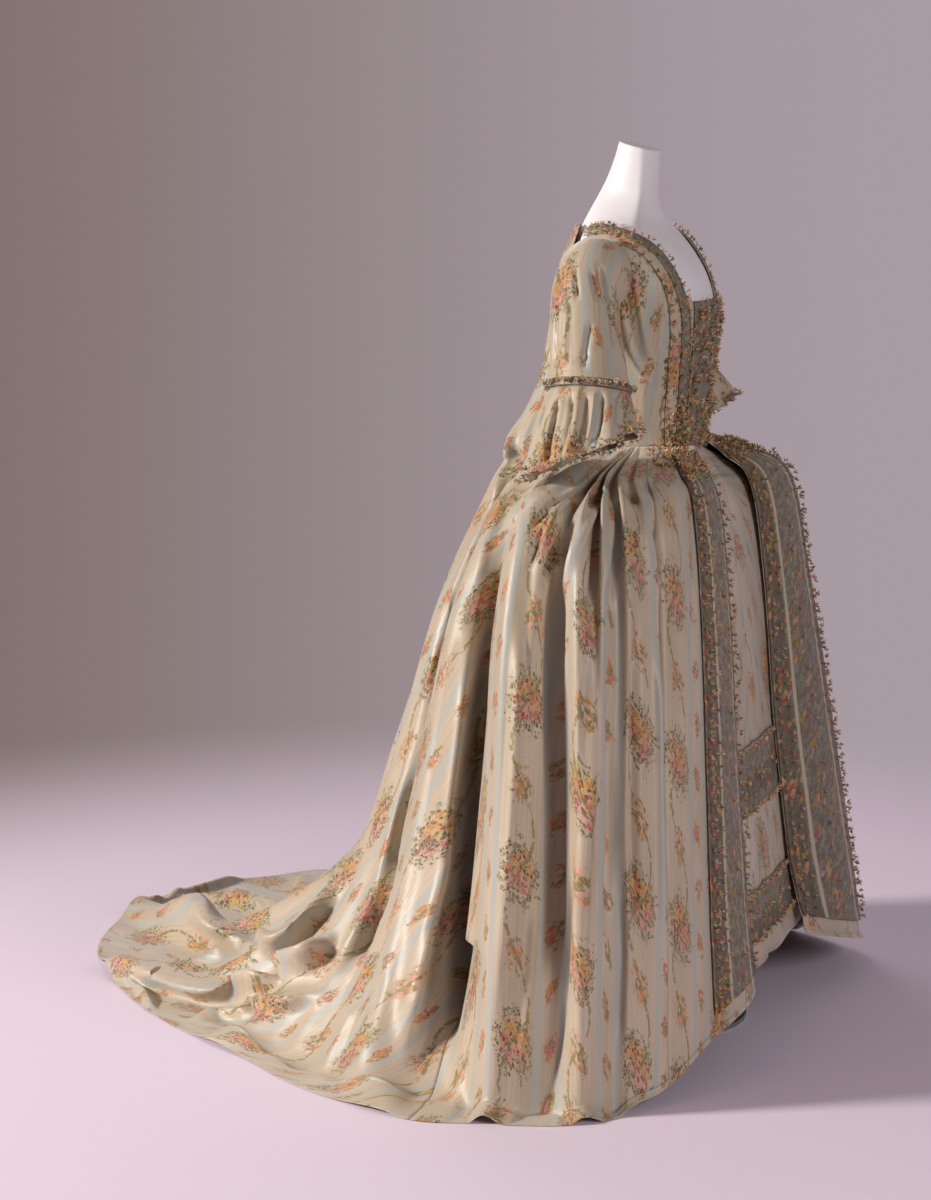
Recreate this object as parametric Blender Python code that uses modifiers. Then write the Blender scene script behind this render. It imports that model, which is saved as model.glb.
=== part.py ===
# Robe a la francaise on a limbless dress form. Metres, +Z up, the gown faces -Y.
# A bearing is an angle in degrees round the figure, seen from above: 0 at the centre
# front, 90 at the wearer's right side (-X), 180 at the back, 270 at the left side.

import math

import bmesh
import bpy
from mathutils import Vector

# Driving sizes
SILK = 0.0015            # wall of the silk and lace pieces
SEAM = 0.0005            # gap between pieces that are sewn edge to edge
BACK_INSET = 0.0003      # the sack back's edges are drawn in this far from the seam line
FRONT_INSET = 0.0004     # the same at the seam between the side and the front panels
LAYER = 0.0007           # gap between a piece and what lies on it
BAND_FLARE = 0.0022      # the skirt's lace bands stand off this far at their foot
SKIRT_AXIS_Y = 0.02      # the skirt's sections turn about this line
FLOOR_CLEAR = 0.0004     # gap between the floor and the underside of the train
WAIST = 1.018            # height of the waist seam
SHOULDER = 1.3           # the form's outside turns upward above this
FORM_FOOT = 0.885        # underside of the dress form's torso
NECK_SLOPE = 0.24        # slant of the neck's cut, down towards the front
POLE_RADIUS = 0.016
BASE_RADIUS = 0.19
BASE_HEIGHT = 0.008
POLE_GAP = 0.0003        # gap at each end of the pole

# Offsets of the layers from the dress form, to the outer face of each
PETTICOAT_OUT = 0.0022
BODICE_OUT = PETTICOAT_OUT + LAYER + SILK
ROBING_OUT = BODICE_OUT + 2 * LAYER + SILK

FORM_SEGMENTS = 36
FORM_STEP = 360 / FORM_SEGMENTS

# Dress form: height, half width, front depth, back depth
FORM_SECTIONS = (
    (0.885, 0.140, 0.104, 0.092),
    (0.930, 0.134, 0.102, 0.088),
    (0.975, 0.124, 0.097, 0.083),
    (1.020, 0.118, 0.095, 0.080),
    (1.070, 0.124, 0.099, 0.086),
    (1.120, 0.134, 0.104, 0.093),
    (1.165, 0.144, 0.109, 0.099),
    (1.210, 0.151, 0.114, 0.104),
    (1.255, 0.156, 0.114, 0.108),
    (1.300, 0.157, 0.100, 0.111),
    (1.338, 0.155, 0.076, 0.112),
    (1.364, 0.146, 0.054, 0.110),
    (1.384, 0.122, 0.036, 0.105),
    (1.402, 0.086, 0.025, 0.099),
    (1.435, 0.054, 0.019, 0.082),
    (1.465, 0.048, 0.020, 0.066),
    (1.495, 0.045, 0.022, 0.052),
    (1.518, 0.044, 0.024, 0.044),
)
FORM_ROUNDNESS = 2.25

# Skirt of the gown: radius of each section at these bearings, from the right edge of the
# opening round the back to the left edge
SKIRT_BEARINGS = (35, 57, 70, 80, 90, 100, 108, 117, 135, 157, 180,
                  203, 225, 243, 252, 260, 270, 280, 290, 303, 325)
# height, then one radius a bearing
SKIRT_SECTIONS = (
    (WAIST, 0.000, 0.000, 0.080, 0.110, 0.122, 0.136, 0.160, 0.214, 0.220, 0.212, 0.206,
     0.212, 0.220, 0.214, 0.160, 0.136, 0.122, 0.110, 0.080, 0.000, 0.000),
    (0.984, 0.176, 0.256, 0.298, 0.322, 0.330, 0.312, 0.256, 0.252, 0.230, 0.218, 0.214,
     0.218, 0.230, 0.252, 0.256, 0.312, 0.330, 0.324, 0.304, 0.276, 0.172),
    (0.930, 0.226, 0.324, 0.415, 0.474, 0.495, 0.450, 0.330, 0.316, 0.272, 0.248, 0.240,
     0.248, 0.272, 0.316, 0.330, 0.450, 0.500, 0.486, 0.440, 0.380, 0.222),
    (0.750, 0.255, 0.369, 0.470, 0.545, 0.565, 0.525, 0.385, 0.408, 0.362, 0.322, 0.314,
     0.324, 0.362, 0.414, 0.390, 0.525, 0.572, 0.556, 0.500, 0.430, 0.250),
    (0.500, 0.278, 0.402, 0.511, 0.579, 0.602, 0.560, 0.430, 0.474, 0.434, 0.400, 0.396,
     0.408, 0.446, 0.492, 0.440, 0.565, 0.612, 0.596, 0.556, 0.488, 0.272),
    (0.250, 0.309, 0.432, 0.545, 0.610, 0.632, 0.600, 0.495, 0.545, 0.518, 0.484, 0.500,
     0.520, 0.550, 0.570, 0.510, 0.600, 0.645, 0.632, 0.602, 0.542, 0.304),
    (0.036, 0.330, 0.458, 0.562, 0.636, 0.662, 0.656, 0.622, 0.652, 0.655, 0.690, 0.770,
     0.810, 0.780, 0.700, 0.650, 0.660, 0.668, 0.654, 0.632, 0.576, 0.332),
    (0.011, 0.333, 0.462, 0.569, 0.654, 0.686, 0.692, 0.690, 0.698, 0.705, 0.795, 0.965,
     1.060, 0.965, 0.790, 0.720, 0.700, 0.692, 0.672, 0.640, 0.584, 0.336),
    (0.0024, 0.336, 0.466, 0.576, 0.676, 0.712, 0.728, 0.750, 0.735, 0.735, 0.885, 1.127,
     1.268, 1.125, 0.885, 0.790, 0.745, 0.712, 0.690, 0.650, 0.592, 0.340),
)
# How far the hem hangs above the floor at each bearing
HEM_LIFT = (0.108, 0.076, 0.018, 0.0, 0.0, 0.0, 0.0, 0.0, 0.0, 0.0, 0.0,
            0.0, 0.0, 0.0, 0.0, 0.0, 0.0, 0.004, 0.020, 0.040, 0.114)
LIFT_FROM_LEVEL = 5      # the lift starts below this section
# The train swings to the wearer's left on the floor: degrees at each section
TRAIN_SWING = (0, 0, 0, 0, 0, 0, 3, 7, 11)
# The seams beside the sack back draw forward on the floor: degrees at each section
SEAM_BEARING = 108
SEAM_DRIFT = (0, 0, 0, 0, 1, 2, 4, 6, 7)
SEAM_DRIFT_REACH = 20    # degrees on each side of the seam that draw forward with it
# The hip's pleats close in on the pocket at this bearing, by this share at each section
POCKET_BEARING = 84
POCKET_REACH = 24
POCKET_PULL = (0.70, 0.62, 0.22, 0.05, 0, 0, 0, 0, 0)
# How far a fold stands upward instead of outward at each section
FOLD_RISE = (0.9, 0.9, 0.35, 0.0, 0.0, 0.0, 0.75, 1.0, 1.0)

# Sack back above the waist: height, then one radius for each bearing of the back
BACK_BEARINGS = SKIRT_BEARINGS[6:15]
BACK_SECTIONS = (
    (1.388, 0.118, 0.112, 0.104, 0.093, 0.0883, 0.093, 0.104, 0.112, 0.118),
    (1.300, 0.156, 0.150, 0.138, 0.122, 0.115, 0.122, 0.138, 0.150, 0.156),
    (1.210, 0.158, 0.158, 0.149, 0.138, 0.132, 0.138, 0.149, 0.158, 0.158),
    (1.120, 0.152, 0.176, 0.171, 0.158, 0.152, 0.158, 0.171, 0.176, 0.152),
)
# The sack back is narrower between the arms: its bearings close in on 180 by this share
BACK_NARROWS = (0.76, 0.78, 0.82, 0.92)

# Hip folds: bearing at the hip, half way down and at the hem, half width in degrees at the
# hip and lower down, then the depth at the pocket, at the hip, below it, half way down and
# at the hem. Plus stands out, minus is a hollow.
HIP_FOLDS = (
    (103.0, 101.5, 100.5, 2.6, 3.2, -0.008, -0.014, -0.012, -0.010, -0.004),
    (97.0, 95.0, 95.0, 4.0, 4.4, 0.006, 0.012, 0.018, 0.020, 0.014),
    (88.5, 87.0, 86.0, 3.2, 5.0, -0.014, -0.026, -0.034, -0.036, -0.020),
    (84.2, 82.0, 80.5, 2.2, 2.8, 0.006, 0.014, 0.016, 0.016, 0.010),
    (81.2, 81.0, 81.0, 1.6, 1.6, -0.012, -0.018, -0.008, 0.000, 0.000),
    (79.3, 79.2, 79.0, 1.4, 1.4, 0.008, 0.010, 0.004, 0.000, 0.000),
    (77.0, 77.2, 76.8, 2.0, 2.4, -0.012, -0.020, -0.020, -0.018, -0.008),
    (74.6, 73.0, 73.0, 2.4, 3.4, 0.006, 0.010, 0.010, 0.008, 0.004),
    (72.3, 70.0, 69.0, 1.9, 1.6, -0.008, -0.008, -0.002, 0.000, 0.000),
)
HIP_FOLD_LEVELS = (0, 1, 2, 3, 4.5, 8)
LEFT_FOLD_DEPTH = 0.85   # the left side's folds are this much of the right side's

# Back folds: bearing at the neck, half way down and at the hem, half width in degrees,
# depth at the neck, waist, half way down, where it meets the floor, and at the hem
BACK_FOLDS = (
    (121, 119, 112, 5.5, 0.002, 0.008, 0.014, 0.032, 0.006),
    (129, 130, 124, 5.0, -0.003, -0.012, -0.030, -0.010, 0.000),
    (140, 142, 138, 6.5, 0.002, 0.008, 0.014, 0.030, 0.006),
    (152, 149, 147, 4.6, -0.003, -0.008, -0.020, -0.004, 0.000),
    (163, 157, 167, 5.0, 0.002, 0.004, 0.012, 0.050, 0.020),
    (175, 170, 177, 5.0, -0.003, -0.006, -0.012, -0.002, 0.000),
    (187, 181, 190, 5.2, 0.002, 0.004, 0.010, 0.052, 0.022),
    (203, 198, 202, 6.5, -0.003, -0.008, -0.020, 0.000, 0.000),
    (218, 214, 216, 7.0, 0.002, 0.006, 0.014, 0.036, 0.010),
    (231, 231, 232, 5.6, -0.003, -0.010, -0.024, -0.004, 0.000),
    (240, 242, 247, 6.0, 0.002, 0.008, 0.010, 0.020, 0.004),
)
BACK_FOLD_LEVELS = (-4, 0, 4, 6.4, 8)

# Where the panels are divided, in bearings, and the lines that carry the folds
SIDE_COLUMNS = (108, 105.5, 103, 100, 97, 94, 91.3, 88.6, 86.2, 84.2, 82.7, 81.2, 79.4, 77.1,
                74.8, 72.4, 70.3, 68)
FRONT_COLUMNS = (68, 62.5, 57, 51.5, 46, 40.5, 35)
NEAR_BACK_COLUMNS = 25    # from the right seam to BACK_DIVIDE, where more folds show
FAR_BACK_COLUMNS = 10
BACK_DIVIDE = 198
SKIRT_ROWS = (0, 0.5, 1, 1.5, 2, 2.4, 2.8, 3.2, 3.6, 4, 4.4, 4.8, 5.2, 5.6, 6, 6.5, 7, 7.5, 8)
BAND_ROWS = SKIRT_ROWS[1:-4]
BACK_ROWS = (-4, -3.4, -2.8, -2.2, -1.6, -1, -0.5) + SKIRT_ROWS

# Petticoat: bearings, then height and one radius a bearing
PETTICOAT_BEARINGS = (0, 32, 57, 75, 90, 105, 125, 150, 180)
PETTICOAT_SECTIONS = (
    (0.968, 0.146, 0.152, 0.222, 0.262, 0.270, 0.220, 0.195, 0.185, 0.180),
    (0.912, 0.172, 0.200, 0.298, 0.400, 0.430, 0.290, 0.255, 0.235, 0.228),
    (0.750, 0.196, 0.232, 0.346, 0.460, 0.490, 0.350, 0.320, 0.300, 0.290),
    (0.500, 0.216, 0.254, 0.378, 0.492, 0.520, 0.385, 0.370, 0.360, 0.355),
    (0.300, 0.234, 0.276, 0.402, 0.512, 0.545, 0.430, 0.420, 0.410, 0.410),
    (0.125, 0.252, 0.300, 0.424, 0.528, 0.562, 0.480, 0.470, 0.460, 0.460),
)
PETTICOAT_SEGMENTS = 44
PETTICOAT_ROWS = (0, 0.5, 1, 1.5, 2, 3, 4, 5, 6)

# Furbelows across the petticoat's front: height of the top and of the bottom edge
FURBELOW_SEGMENTS = 5    # petticoat facets covered on each side of the centre front
FURBELOWS = {
    "furbelow_upper": (0.500, 0.385),
    "furbelow_lower": (0.255, 0.170),
}
FURBELOW_COLUMNS = 30
FURBELOW_WAVE = 0.0035

# Sleeve: centre (outward, y, z), radius across, radius front to back, tilt of the ring
SLEEVE_RINGS = (
    (0.1636, 0.034, 1.306, 0.0625, 0.056, 99),
    (0.1940, 0.038, 1.303, 0.066, 0.058, 74),
    (0.2200, 0.042, 1.268, 0.060, 0.058, 46),
    (0.2440, 0.034, 1.215, 0.058, 0.060, 27),
    (0.2640, 0.024, 1.165, 0.060, 0.064, 18),
    (0.2820, 0.016, 1.124, 0.062, 0.067, 14),
)
SLEEVE_SEGMENTS = 20
SLEEVE_ROWS = 8
BAND_EASE = 0.0003       # looseness of the band round the sleeve
BAND_SHARE = 0.3         # the trimmed band covers this share of the last ring's length
# Flounce: spread added to the sleeve's end ring and length at the front, side and back
FLOUNCE_SPREAD = 0.036
FLOUNCE_SHIFT = 0.048    # outward drift of the flounce's lower edge
FLOUNCE_FRONT = 0.055
FLOUNCE_BACK = 0.158
FLOUNCE_CURVE = 0.6      # how soon the lower edge falls from the front to the back
FLOUNCE_INNER = 0.3      # the side next to the body is shorter by this share
FLOUNCE_WAVES = 9
FLOUNCE_WAVE = 0.008

# Robing, from the waist over the shoulder to the back of the neck:
# bearing and height of the inner edge, bearing and height of the outer edge
ROBING_LINE = (
    (37, 1.0200, 57, 1.0200),
    (38, 1.0800, 58, 1.0800),
    (39, 1.1500, 58, 1.1500),
    (41, 1.2200, 58, 1.2150),
    (45, 1.2700, 60, 1.2620),
    (52, 1.3150, 65, 1.3000),
    (64, 1.3520, 75, 1.3380),
    (82, 1.3780, 92, 1.3640),
    (104, 1.3900, 106, 1.3760),
)
ROBING_ROWS = 16
# Bodice: bearing and height of its top edge, from the stomacher to the sack back
BODICE_TOP = (
    (36.4, 1.262),
    (48, 1.284),
    (56, 1.314),
    (64, 1.326),
    (74, 1.335),
    (84, 1.347),
    (96, 1.360),
    (108, 1.362),
    (120, 1.346),
    (134, 1.330),
)
BODICE_ROWS = 11
BODICE_CROWDING = 1.7    # the rows stand closer towards the shoulder
STOMACHER_EDGE = 36      # bearing of the stomacher's sides
STOMACHER_TOP = 1.262
STOMACHER_POINT = 1.010
PETTICOAT_WAIST = 1.006
STOMACHER_ROWS = 8
TRIM_WAVE = 0.0028       # depth of the ruching over the stomacher

SILK_COLOUR = (0.66, 0.60, 0.49)
LACE_COLOUR = (0.40, 0.36, 0.28)
TRIM_COLOUR = (0.42, 0.36, 0.22)
FORM_COLOUR = (0.86, 0.84, 0.87)
STEEL_COLOUR = (0.30, 0.30, 0.32)


def clear_scene():
    for old in list(bpy.data.objects):
        bpy.data.objects.remove(old, do_unlink=True)


def through(knots, values, x):
    """Smooth curve through the values at the knots, straight beyond the ends' slopes."""
    last = len(knots) - 1
    k = 0
    while k < last - 1 and x > knots[k + 1]:
        k += 1
    span = knots[k + 1] - knots[k]
    t = min(max((x - knots[k]) / span, 0.0), 1.0)
    before, after = max(k - 1, 0), min(k + 2, last)
    slope_a = (values[k + 1] - values[before]) / (knots[k + 1] - knots[before])
    slope_b = (values[after] - values[k]) / (knots[after] - knots[k])
    a, b = values[k], values[k + 1]
    return (
        a * (2 * t ** 3 - 3 * t ** 2 + 1)
        + b * (3 * t ** 2 - 2 * t ** 3)
        + slope_a * span * (t ** 3 - 2 * t ** 2 + t)
        + slope_b * span * (t ** 3 - t ** 2)
    )


def bump(distance, half_width):
    """Soft ridge: 1 at its crest, 0 at its foot."""
    if abs(distance) >= half_width:
        return 0.0
    return 0.5 + 0.5 * math.cos(math.pi * distance / half_width)


def from_bearing(bearing, radius, z, axis_y=0.0):
    angle = math.radians(bearing)
    return Vector((-radius * math.sin(angle), axis_y - radius * math.cos(angle), z))


def form_point(bearing, z, out=0.0):
    """Point over the dress form at a bearing and height, moved out by a distance."""
    heights = [row[0] for row in FORM_SECTIONS]
    width, front, back = (
        through(heights, [row[k] for row in FORM_SECTIONS], z) + out for k in (1, 2, 3)
    )
    angle = math.radians(bearing)
    depth = front if math.cos(angle) > 0 else back
    n = FORM_ROUNDNESS
    across = (abs(math.sin(angle)) / width) ** n
    along = (abs(math.cos(angle)) / depth) ** n
    return from_bearing(bearing, (across + along) ** (-1 / n), z)


def hip_fold(bearing, t):
    """Depth of the folds that fan out from the hip, on either side."""
    left = bearing > 180
    side_bearing = 360 - bearing if left else bearing
    total = 0.0
    for at_hip, at_mid, at_hem, hip_width, low_width, *depths in HIP_FOLDS:
        crest = through((2, 4, 8), (at_hip, at_mid, at_hem), t)
        half_width = through((2, 4), (hip_width, low_width), t)
        depth = through(HIP_FOLD_LEVELS, (0.0, *depths), t)
        total += depth * bump(side_bearing - crest, half_width)
    return total * (LEFT_FOLD_DEPTH if left else 1.0)


def back_fold(bearing, t):
    """Depth of the box pleats of the sack back and of the folds that they run into."""
    total = 0.0
    for neck_at, mid_at, hem_at, half_width, *depths in BACK_FOLDS:
        crest = through((-4, 4, 8), (neck_at, mid_at, hem_at), t)
        depth = through(BACK_FOLD_LEVELS, depths, t)
        total += depth * bump(bearing - crest, half_width)
    return total


def turned_bearing(bearing, t):
    """Where a thread line of the skirt stands at a section, above or below the waist."""
    if t < 0:
        narrows = through(range(-len(BACK_NARROWS), 1), BACK_NARROWS + (1.0,), t)
        return 180 + (bearing - 180) * narrows
    levels = range(len(SKIRT_SECTIONS))
    side = 1 if bearing < 180 else -1
    side_bearing = bearing if side > 0 else 360 - bearing
    pull = through(levels, POCKET_PULL, t) * bump(side_bearing - POCKET_BEARING, POCKET_REACH)
    drift = through(levels, SEAM_DRIFT, t) * bump(side_bearing - SEAM_BEARING, SEAM_DRIFT_REACH)
    back_share = math.sin(math.radians(min(max(bearing, 90), 270) - 90)) ** 2
    swing = through(levels, TRAIN_SWING, t) * back_share
    return bearing - side * ((side_bearing - POCKET_BEARING) * pull + drift) + swing


def skirt_point(bearing, t):
    """Point of the gown: t is the section number, under 0 above the waist."""
    back = SKIRT_BEARINGS[6] <= bearing <= SKIRT_BEARINGS[14]
    turned = turned_bearing(bearing, t)
    across = turned if t <= LIFT_FROM_LEVEL and not back else bearing
    radii = [through(SKIRT_BEARINGS, row[1:], across) for row in SKIRT_SECTIONS]
    heights = [row[0] for row in SKIRT_SECTIONS]
    rises = list(FOLD_RISE)
    levels = list(range(len(SKIRT_SECTIONS)))
    waist = form_point(turned if not back else bearing, WAIST, BODICE_OUT)
    radii[0] = max(radii[0], math.hypot(waist.x, waist.y))
    if back and t < 1:
        radii = [through(BACK_BEARINGS, row[1:], bearing) for row in BACK_SECTIONS] + radii
        heights = [row[0] for row in BACK_SECTIONS] + heights
        above = len(BACK_SECTIONS)
        rises = [0.0] * above + rises
        levels = [k - above for k in range(above)] + levels
    radius = through(levels, radii, t)
    z = through(levels, heights, t)
    lift = through(SKIRT_BEARINGS, HEM_LIFT, bearing)
    z += lift * min(max(t - LIFT_FROM_LEVEL, 0.0), 1.0)
    depth = back_fold(bearing, t) if back else hip_fold(bearing, t)
    seam_distance = min(abs(bearing - SKIRT_BEARINGS[6]), abs(bearing - SKIRT_BEARINGS[14]))
    depth *= min(seam_distance / 3.0, 1.0)
    rise = through(levels, rises, t)
    if back:
        rise *= 1.0 if t > 4 else 0.0
    out = math.sqrt(max(1 - rise * rise, 0.0))
    z = max(z + depth * rise, SILK + FLOOR_CLEAR)
    side_share = min(abs(bearing - 180) - 72, 18) / 18 if not back else 0.0
    axis_y = SKIRT_AXIS_Y * (1 - side_share * (1 - min(t, 1)))
    return from_bearing(turned, radius + depth * out, z, axis_y)


def sew_columns(columns, side):
    """Bearings of a panel's columns, on the right (1) or the left (-1) of the figure."""
    return [b if side > 0 else 360 - b for b in columns]


def along(values, u):
    """Value at u, 0 to 1, along a list of values that divide it evenly."""
    position = u * (len(values) - 1)
    k = min(int(position + 1e-6), len(values) - 2)
    return values[k] + (values[k + 1] - values[k]) * (position - k)


def skirt_panel(bearings, rows, first_inset, last_inset):
    """A panel of the gown whose sewn edges are drawn in a little from the seam lines."""
    columns = len(bearings) - 1

    def placed(u, v):
        point = skirt_point(along(bearings, u), along(rows, v))
        column = round(u * columns)
        for edge, beside, inset in ((0, 1, first_inset), (columns, columns - 1, last_inset)):
            if column == edge and inset > 0:
                inner = skirt_point(bearings[beside], along(rows, v))
                point += (inner - point).normalized() * inset
        return point

    return placed


def moved_out(place, distance):
    """The same surface, moved out along its own normals."""
    step = 0.002

    def placed(u, v):
        across = place(min(u + step, 1), v) - place(max(u - step, 0), v)
        down = place(u, min(v + step, 1)) - place(u, max(v - step, 0))
        normal = across.cross(down).normalized()
        return place(u, v) + normal * distance

    return placed


def new_material(name, colour, roughness, metallic=0.0):
    material = bpy.data.materials.new(name)
    material.use_nodes = True
    shader = material.node_tree.nodes["Principled BSDF"]
    shader.inputs["Base Color"].default_value = (*colour, 1.0)
    shader.inputs["Roughness"].default_value = roughness
    shader.inputs["Metallic"].default_value = metallic
    return material


def add_mesh(collection, name, bm, material, smooth=True):
    mesh = bpy.data.meshes.new(name)
    bm.to_mesh(mesh)
    bm.free()
    if smooth:
        mesh.shade_smooth()
    mesh.materials.append(material)
    piece = bpy.data.objects.new(name, mesh)
    collection.objects.link(piece)
    return piece


def lay_grid(place, columns, rows, closed, facing):
    """A grid whose points are put on a surface; facing tells which way is out."""
    bm = bmesh.new()
    bmesh.ops.create_grid(bm, x_segments=columns, y_segments=rows, size=0.5)
    for vertex in bm.verts:
        u = round((vertex.co.x + 0.5) * columns) / columns
        v = round((vertex.co.y + 0.5) * rows) / rows
        vertex.co = place(u, v)
    if closed:
        bmesh.ops.remove_doubles(bm, verts=bm.verts, dist=0.00002)
    bmesh.ops.triangulate(bm, faces=bm.faces, quad_method="FIXED")
    bm.normal_update()
    outward = sum(
        face.normal.dot(facing(face.calc_center_median())) * face.calc_area() for face in bm.faces
    )
    if outward < 0:
        bmesh.ops.reverse_faces(bm, faces=bm.faces)
    return bm


def add_cloth(collection, name, place, columns, rows, material, closed=False, facing=None):
    """A wall of cloth whose outer face lies on the surface."""
    facing = facing or (lambda p: Vector((p.x, p.y - SKIRT_AXIS_Y, 0.0)))
    bm = lay_grid(place, columns, rows, closed, facing)
    piece = add_mesh(collection, name, bm, material)
    wall = piece.modifiers.new("wall", "SOLIDIFY")
    wall.thickness = SILK
    wall.offset = -1.0
    return piece


def add_form(collection, material):
    """The white form: rings of one rounded section, closed at both ends."""
    top = len(FORM_SECTIONS) - 1

    def place(u, v):
        t = v * top
        k = min(int(t), top - 1)
        z = FORM_SECTIONS[k][0] + (FORM_SECTIONS[k + 1][0] - FORM_SECTIONS[k][0]) * (t - k)
        point = form_point(u * 360, z)
        if k >= top - 2:
            share = (t - (top - 2)) / 2
            point.z += NECK_SLOPE * point.y * max(share, 0.0)
        return point

    bm = lay_grid(place, FORM_SEGMENTS, top, True, lambda p: Vector((p.x, p.y, 0)))
    bmesh.ops.holes_fill(bm, edges=[e for e in bm.edges if e.is_boundary], sides=0)
    bmesh.ops.recalc_face_normals(bm, faces=bm.faces)
    return add_mesh(collection, "dress_form", bm, material)


def add_turned(collection, name, radius, low, high, material):
    """An upright cylinder between two heights."""
    bm = bmesh.new()
    bmesh.ops.create_cone(
        bm, cap_ends=True, segments=32, radius1=radius, radius2=radius, depth=high - low
    )
    bmesh.ops.translate(bm, verts=bm.verts, vec=(0, 0, (low + high) / 2))
    piece = add_mesh(collection, name, bm, material)
    piece.data.set_sharp_from_angle(angle=math.radians(40))
    return piece


def add_gown_skirt(collection, silk, lace):
    back_start = SKIRT_BEARINGS[6]
    back_end = SKIRT_BEARINGS[14]
    back_columns = [
        back_start + (BACK_DIVIDE - back_start) * k / NEAR_BACK_COLUMNS
        for k in range(NEAR_BACK_COLUMNS)
    ] + [
        BACK_DIVIDE + (back_end - BACK_DIVIDE) * k / FAR_BACK_COLUMNS
        for k in range(FAR_BACK_COLUMNS + 1)
    ]
    add_cloth(
        collection, "gown_back", skirt_panel(back_columns, BACK_ROWS, BACK_INSET, BACK_INSET),
        len(back_columns) - 1, len(BACK_ROWS) - 1, silk,
    )
    panels = (
        ("gown_side", SIDE_COLUMNS, SEAM / 2, FRONT_INSET),
        ("gown_front", FRONT_COLUMNS, FRONT_INSET, 0.0),
    )
    for side, word in ((1, "right"), (-1, "left")):
        for name, columns, first_inset, last_inset in panels:
            bearings = sew_columns(columns, side)
            panel = skirt_panel(bearings, SKIRT_ROWS, first_inset, last_inset)
            add_cloth(
                collection, f"{name}_{word}", panel, len(columns) - 1, len(SKIRT_ROWS) - 1, silk
            )
        bearings = sew_columns(FRONT_COLUMNS[2:], side)

        def edge(u, v, bearings=bearings):
            return skirt_point(along(bearings, u), along(BAND_ROWS, v))

        def band(u, v, edge=edge, side=side):
            out = SILK + LAYER + (BAND_FLARE - LAYER) * v
            return moved_out(edge, -side * out)(u, v)

        add_cloth(
            collection, f"band_{word}", band, len(bearings) - 1, len(BAND_ROWS) - 1, lace
        )


def petticoat_point(bearing, t):
    """Point of the petticoat: section 0 is its waist on the form, 1 to 6 are the table's."""
    side_bearing = abs((bearing + 180) % 360 - 180)
    radii = [through(PETTICOAT_BEARINGS, row[1:], side_bearing) for row in PETTICOAT_SECTIONS]
    waist = form_point(bearing, PETTICOAT_WAIST, PETTICOAT_OUT)
    waist_radius = math.hypot(waist.x, waist.y)
    levels = range(len(radii) + 1)
    radius = through(levels, [waist_radius] + radii, t)
    z = through(levels, [PETTICOAT_WAIST] + [row[0] for row in PETTICOAT_SECTIONS], t)
    return from_bearing(bearing, radius, z, SKIRT_AXIS_Y * min(t, 1.0))


def petticoat_facet(bearing, t):
    """Point on the petticoat's own flat facets, so that what lies on it stays parallel."""
    step = 360 / PETTICOAT_SEGMENTS
    column = math.floor(bearing / step + 1e-6)
    row = max(k for k, level in enumerate(PETTICOAT_ROWS[:-1]) if level <= t + 1e-6)
    u = bearing / step - column
    v = (t - PETTICOAT_ROWS[row]) / (PETTICOAT_ROWS[row + 1] - PETTICOAT_ROWS[row])
    upper, lower = (
        petticoat_point(column * step, level).lerp(petticoat_point((column + 1) * step, level), u)
        for level in (PETTICOAT_ROWS[row], PETTICOAT_ROWS[row + 1])
    )
    return upper.lerp(lower, v)


def petticoat_level(z):
    """Section number of the petticoat at a height below the hip."""
    heights = [-row[0] for row in PETTICOAT_SECTIONS]
    return through(heights, range(1, len(heights) + 1), -z)


def add_petticoat(collection, silk, lace):
    def place(u, v):
        return petticoat_point(u * 360, along(PETTICOAT_ROWS, v))

    add_cloth(
        collection, "petticoat", place, PETTICOAT_SEGMENTS, len(PETTICOAT_ROWS) - 1, silk, True
    )
    high = FURBELOW_SEGMENTS * 360 / PETTICOAT_SEGMENTS
    low = -high
    for name, (top, bottom) in FURBELOWS.items():
        top_level, bottom_level = petticoat_level(top), petticoat_level(bottom)

        def flounce(u, v):
            bearing = low + (high - low) * u
            return petticoat_facet(bearing, top_level + (bottom_level - top_level) * v)

        def waved(u, v):
            wave = FURBELOW_WAVE * (0.35 + 0.65 * v) * (0.5 - 0.5 * (-1) ** round(u * FURBELOW_COLUMNS))
            return moved_out(flounce, LAYER + SILK + wave)(u, v)

        add_cloth(collection, name, waved, FURBELOW_COLUMNS, 2, lace)


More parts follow.
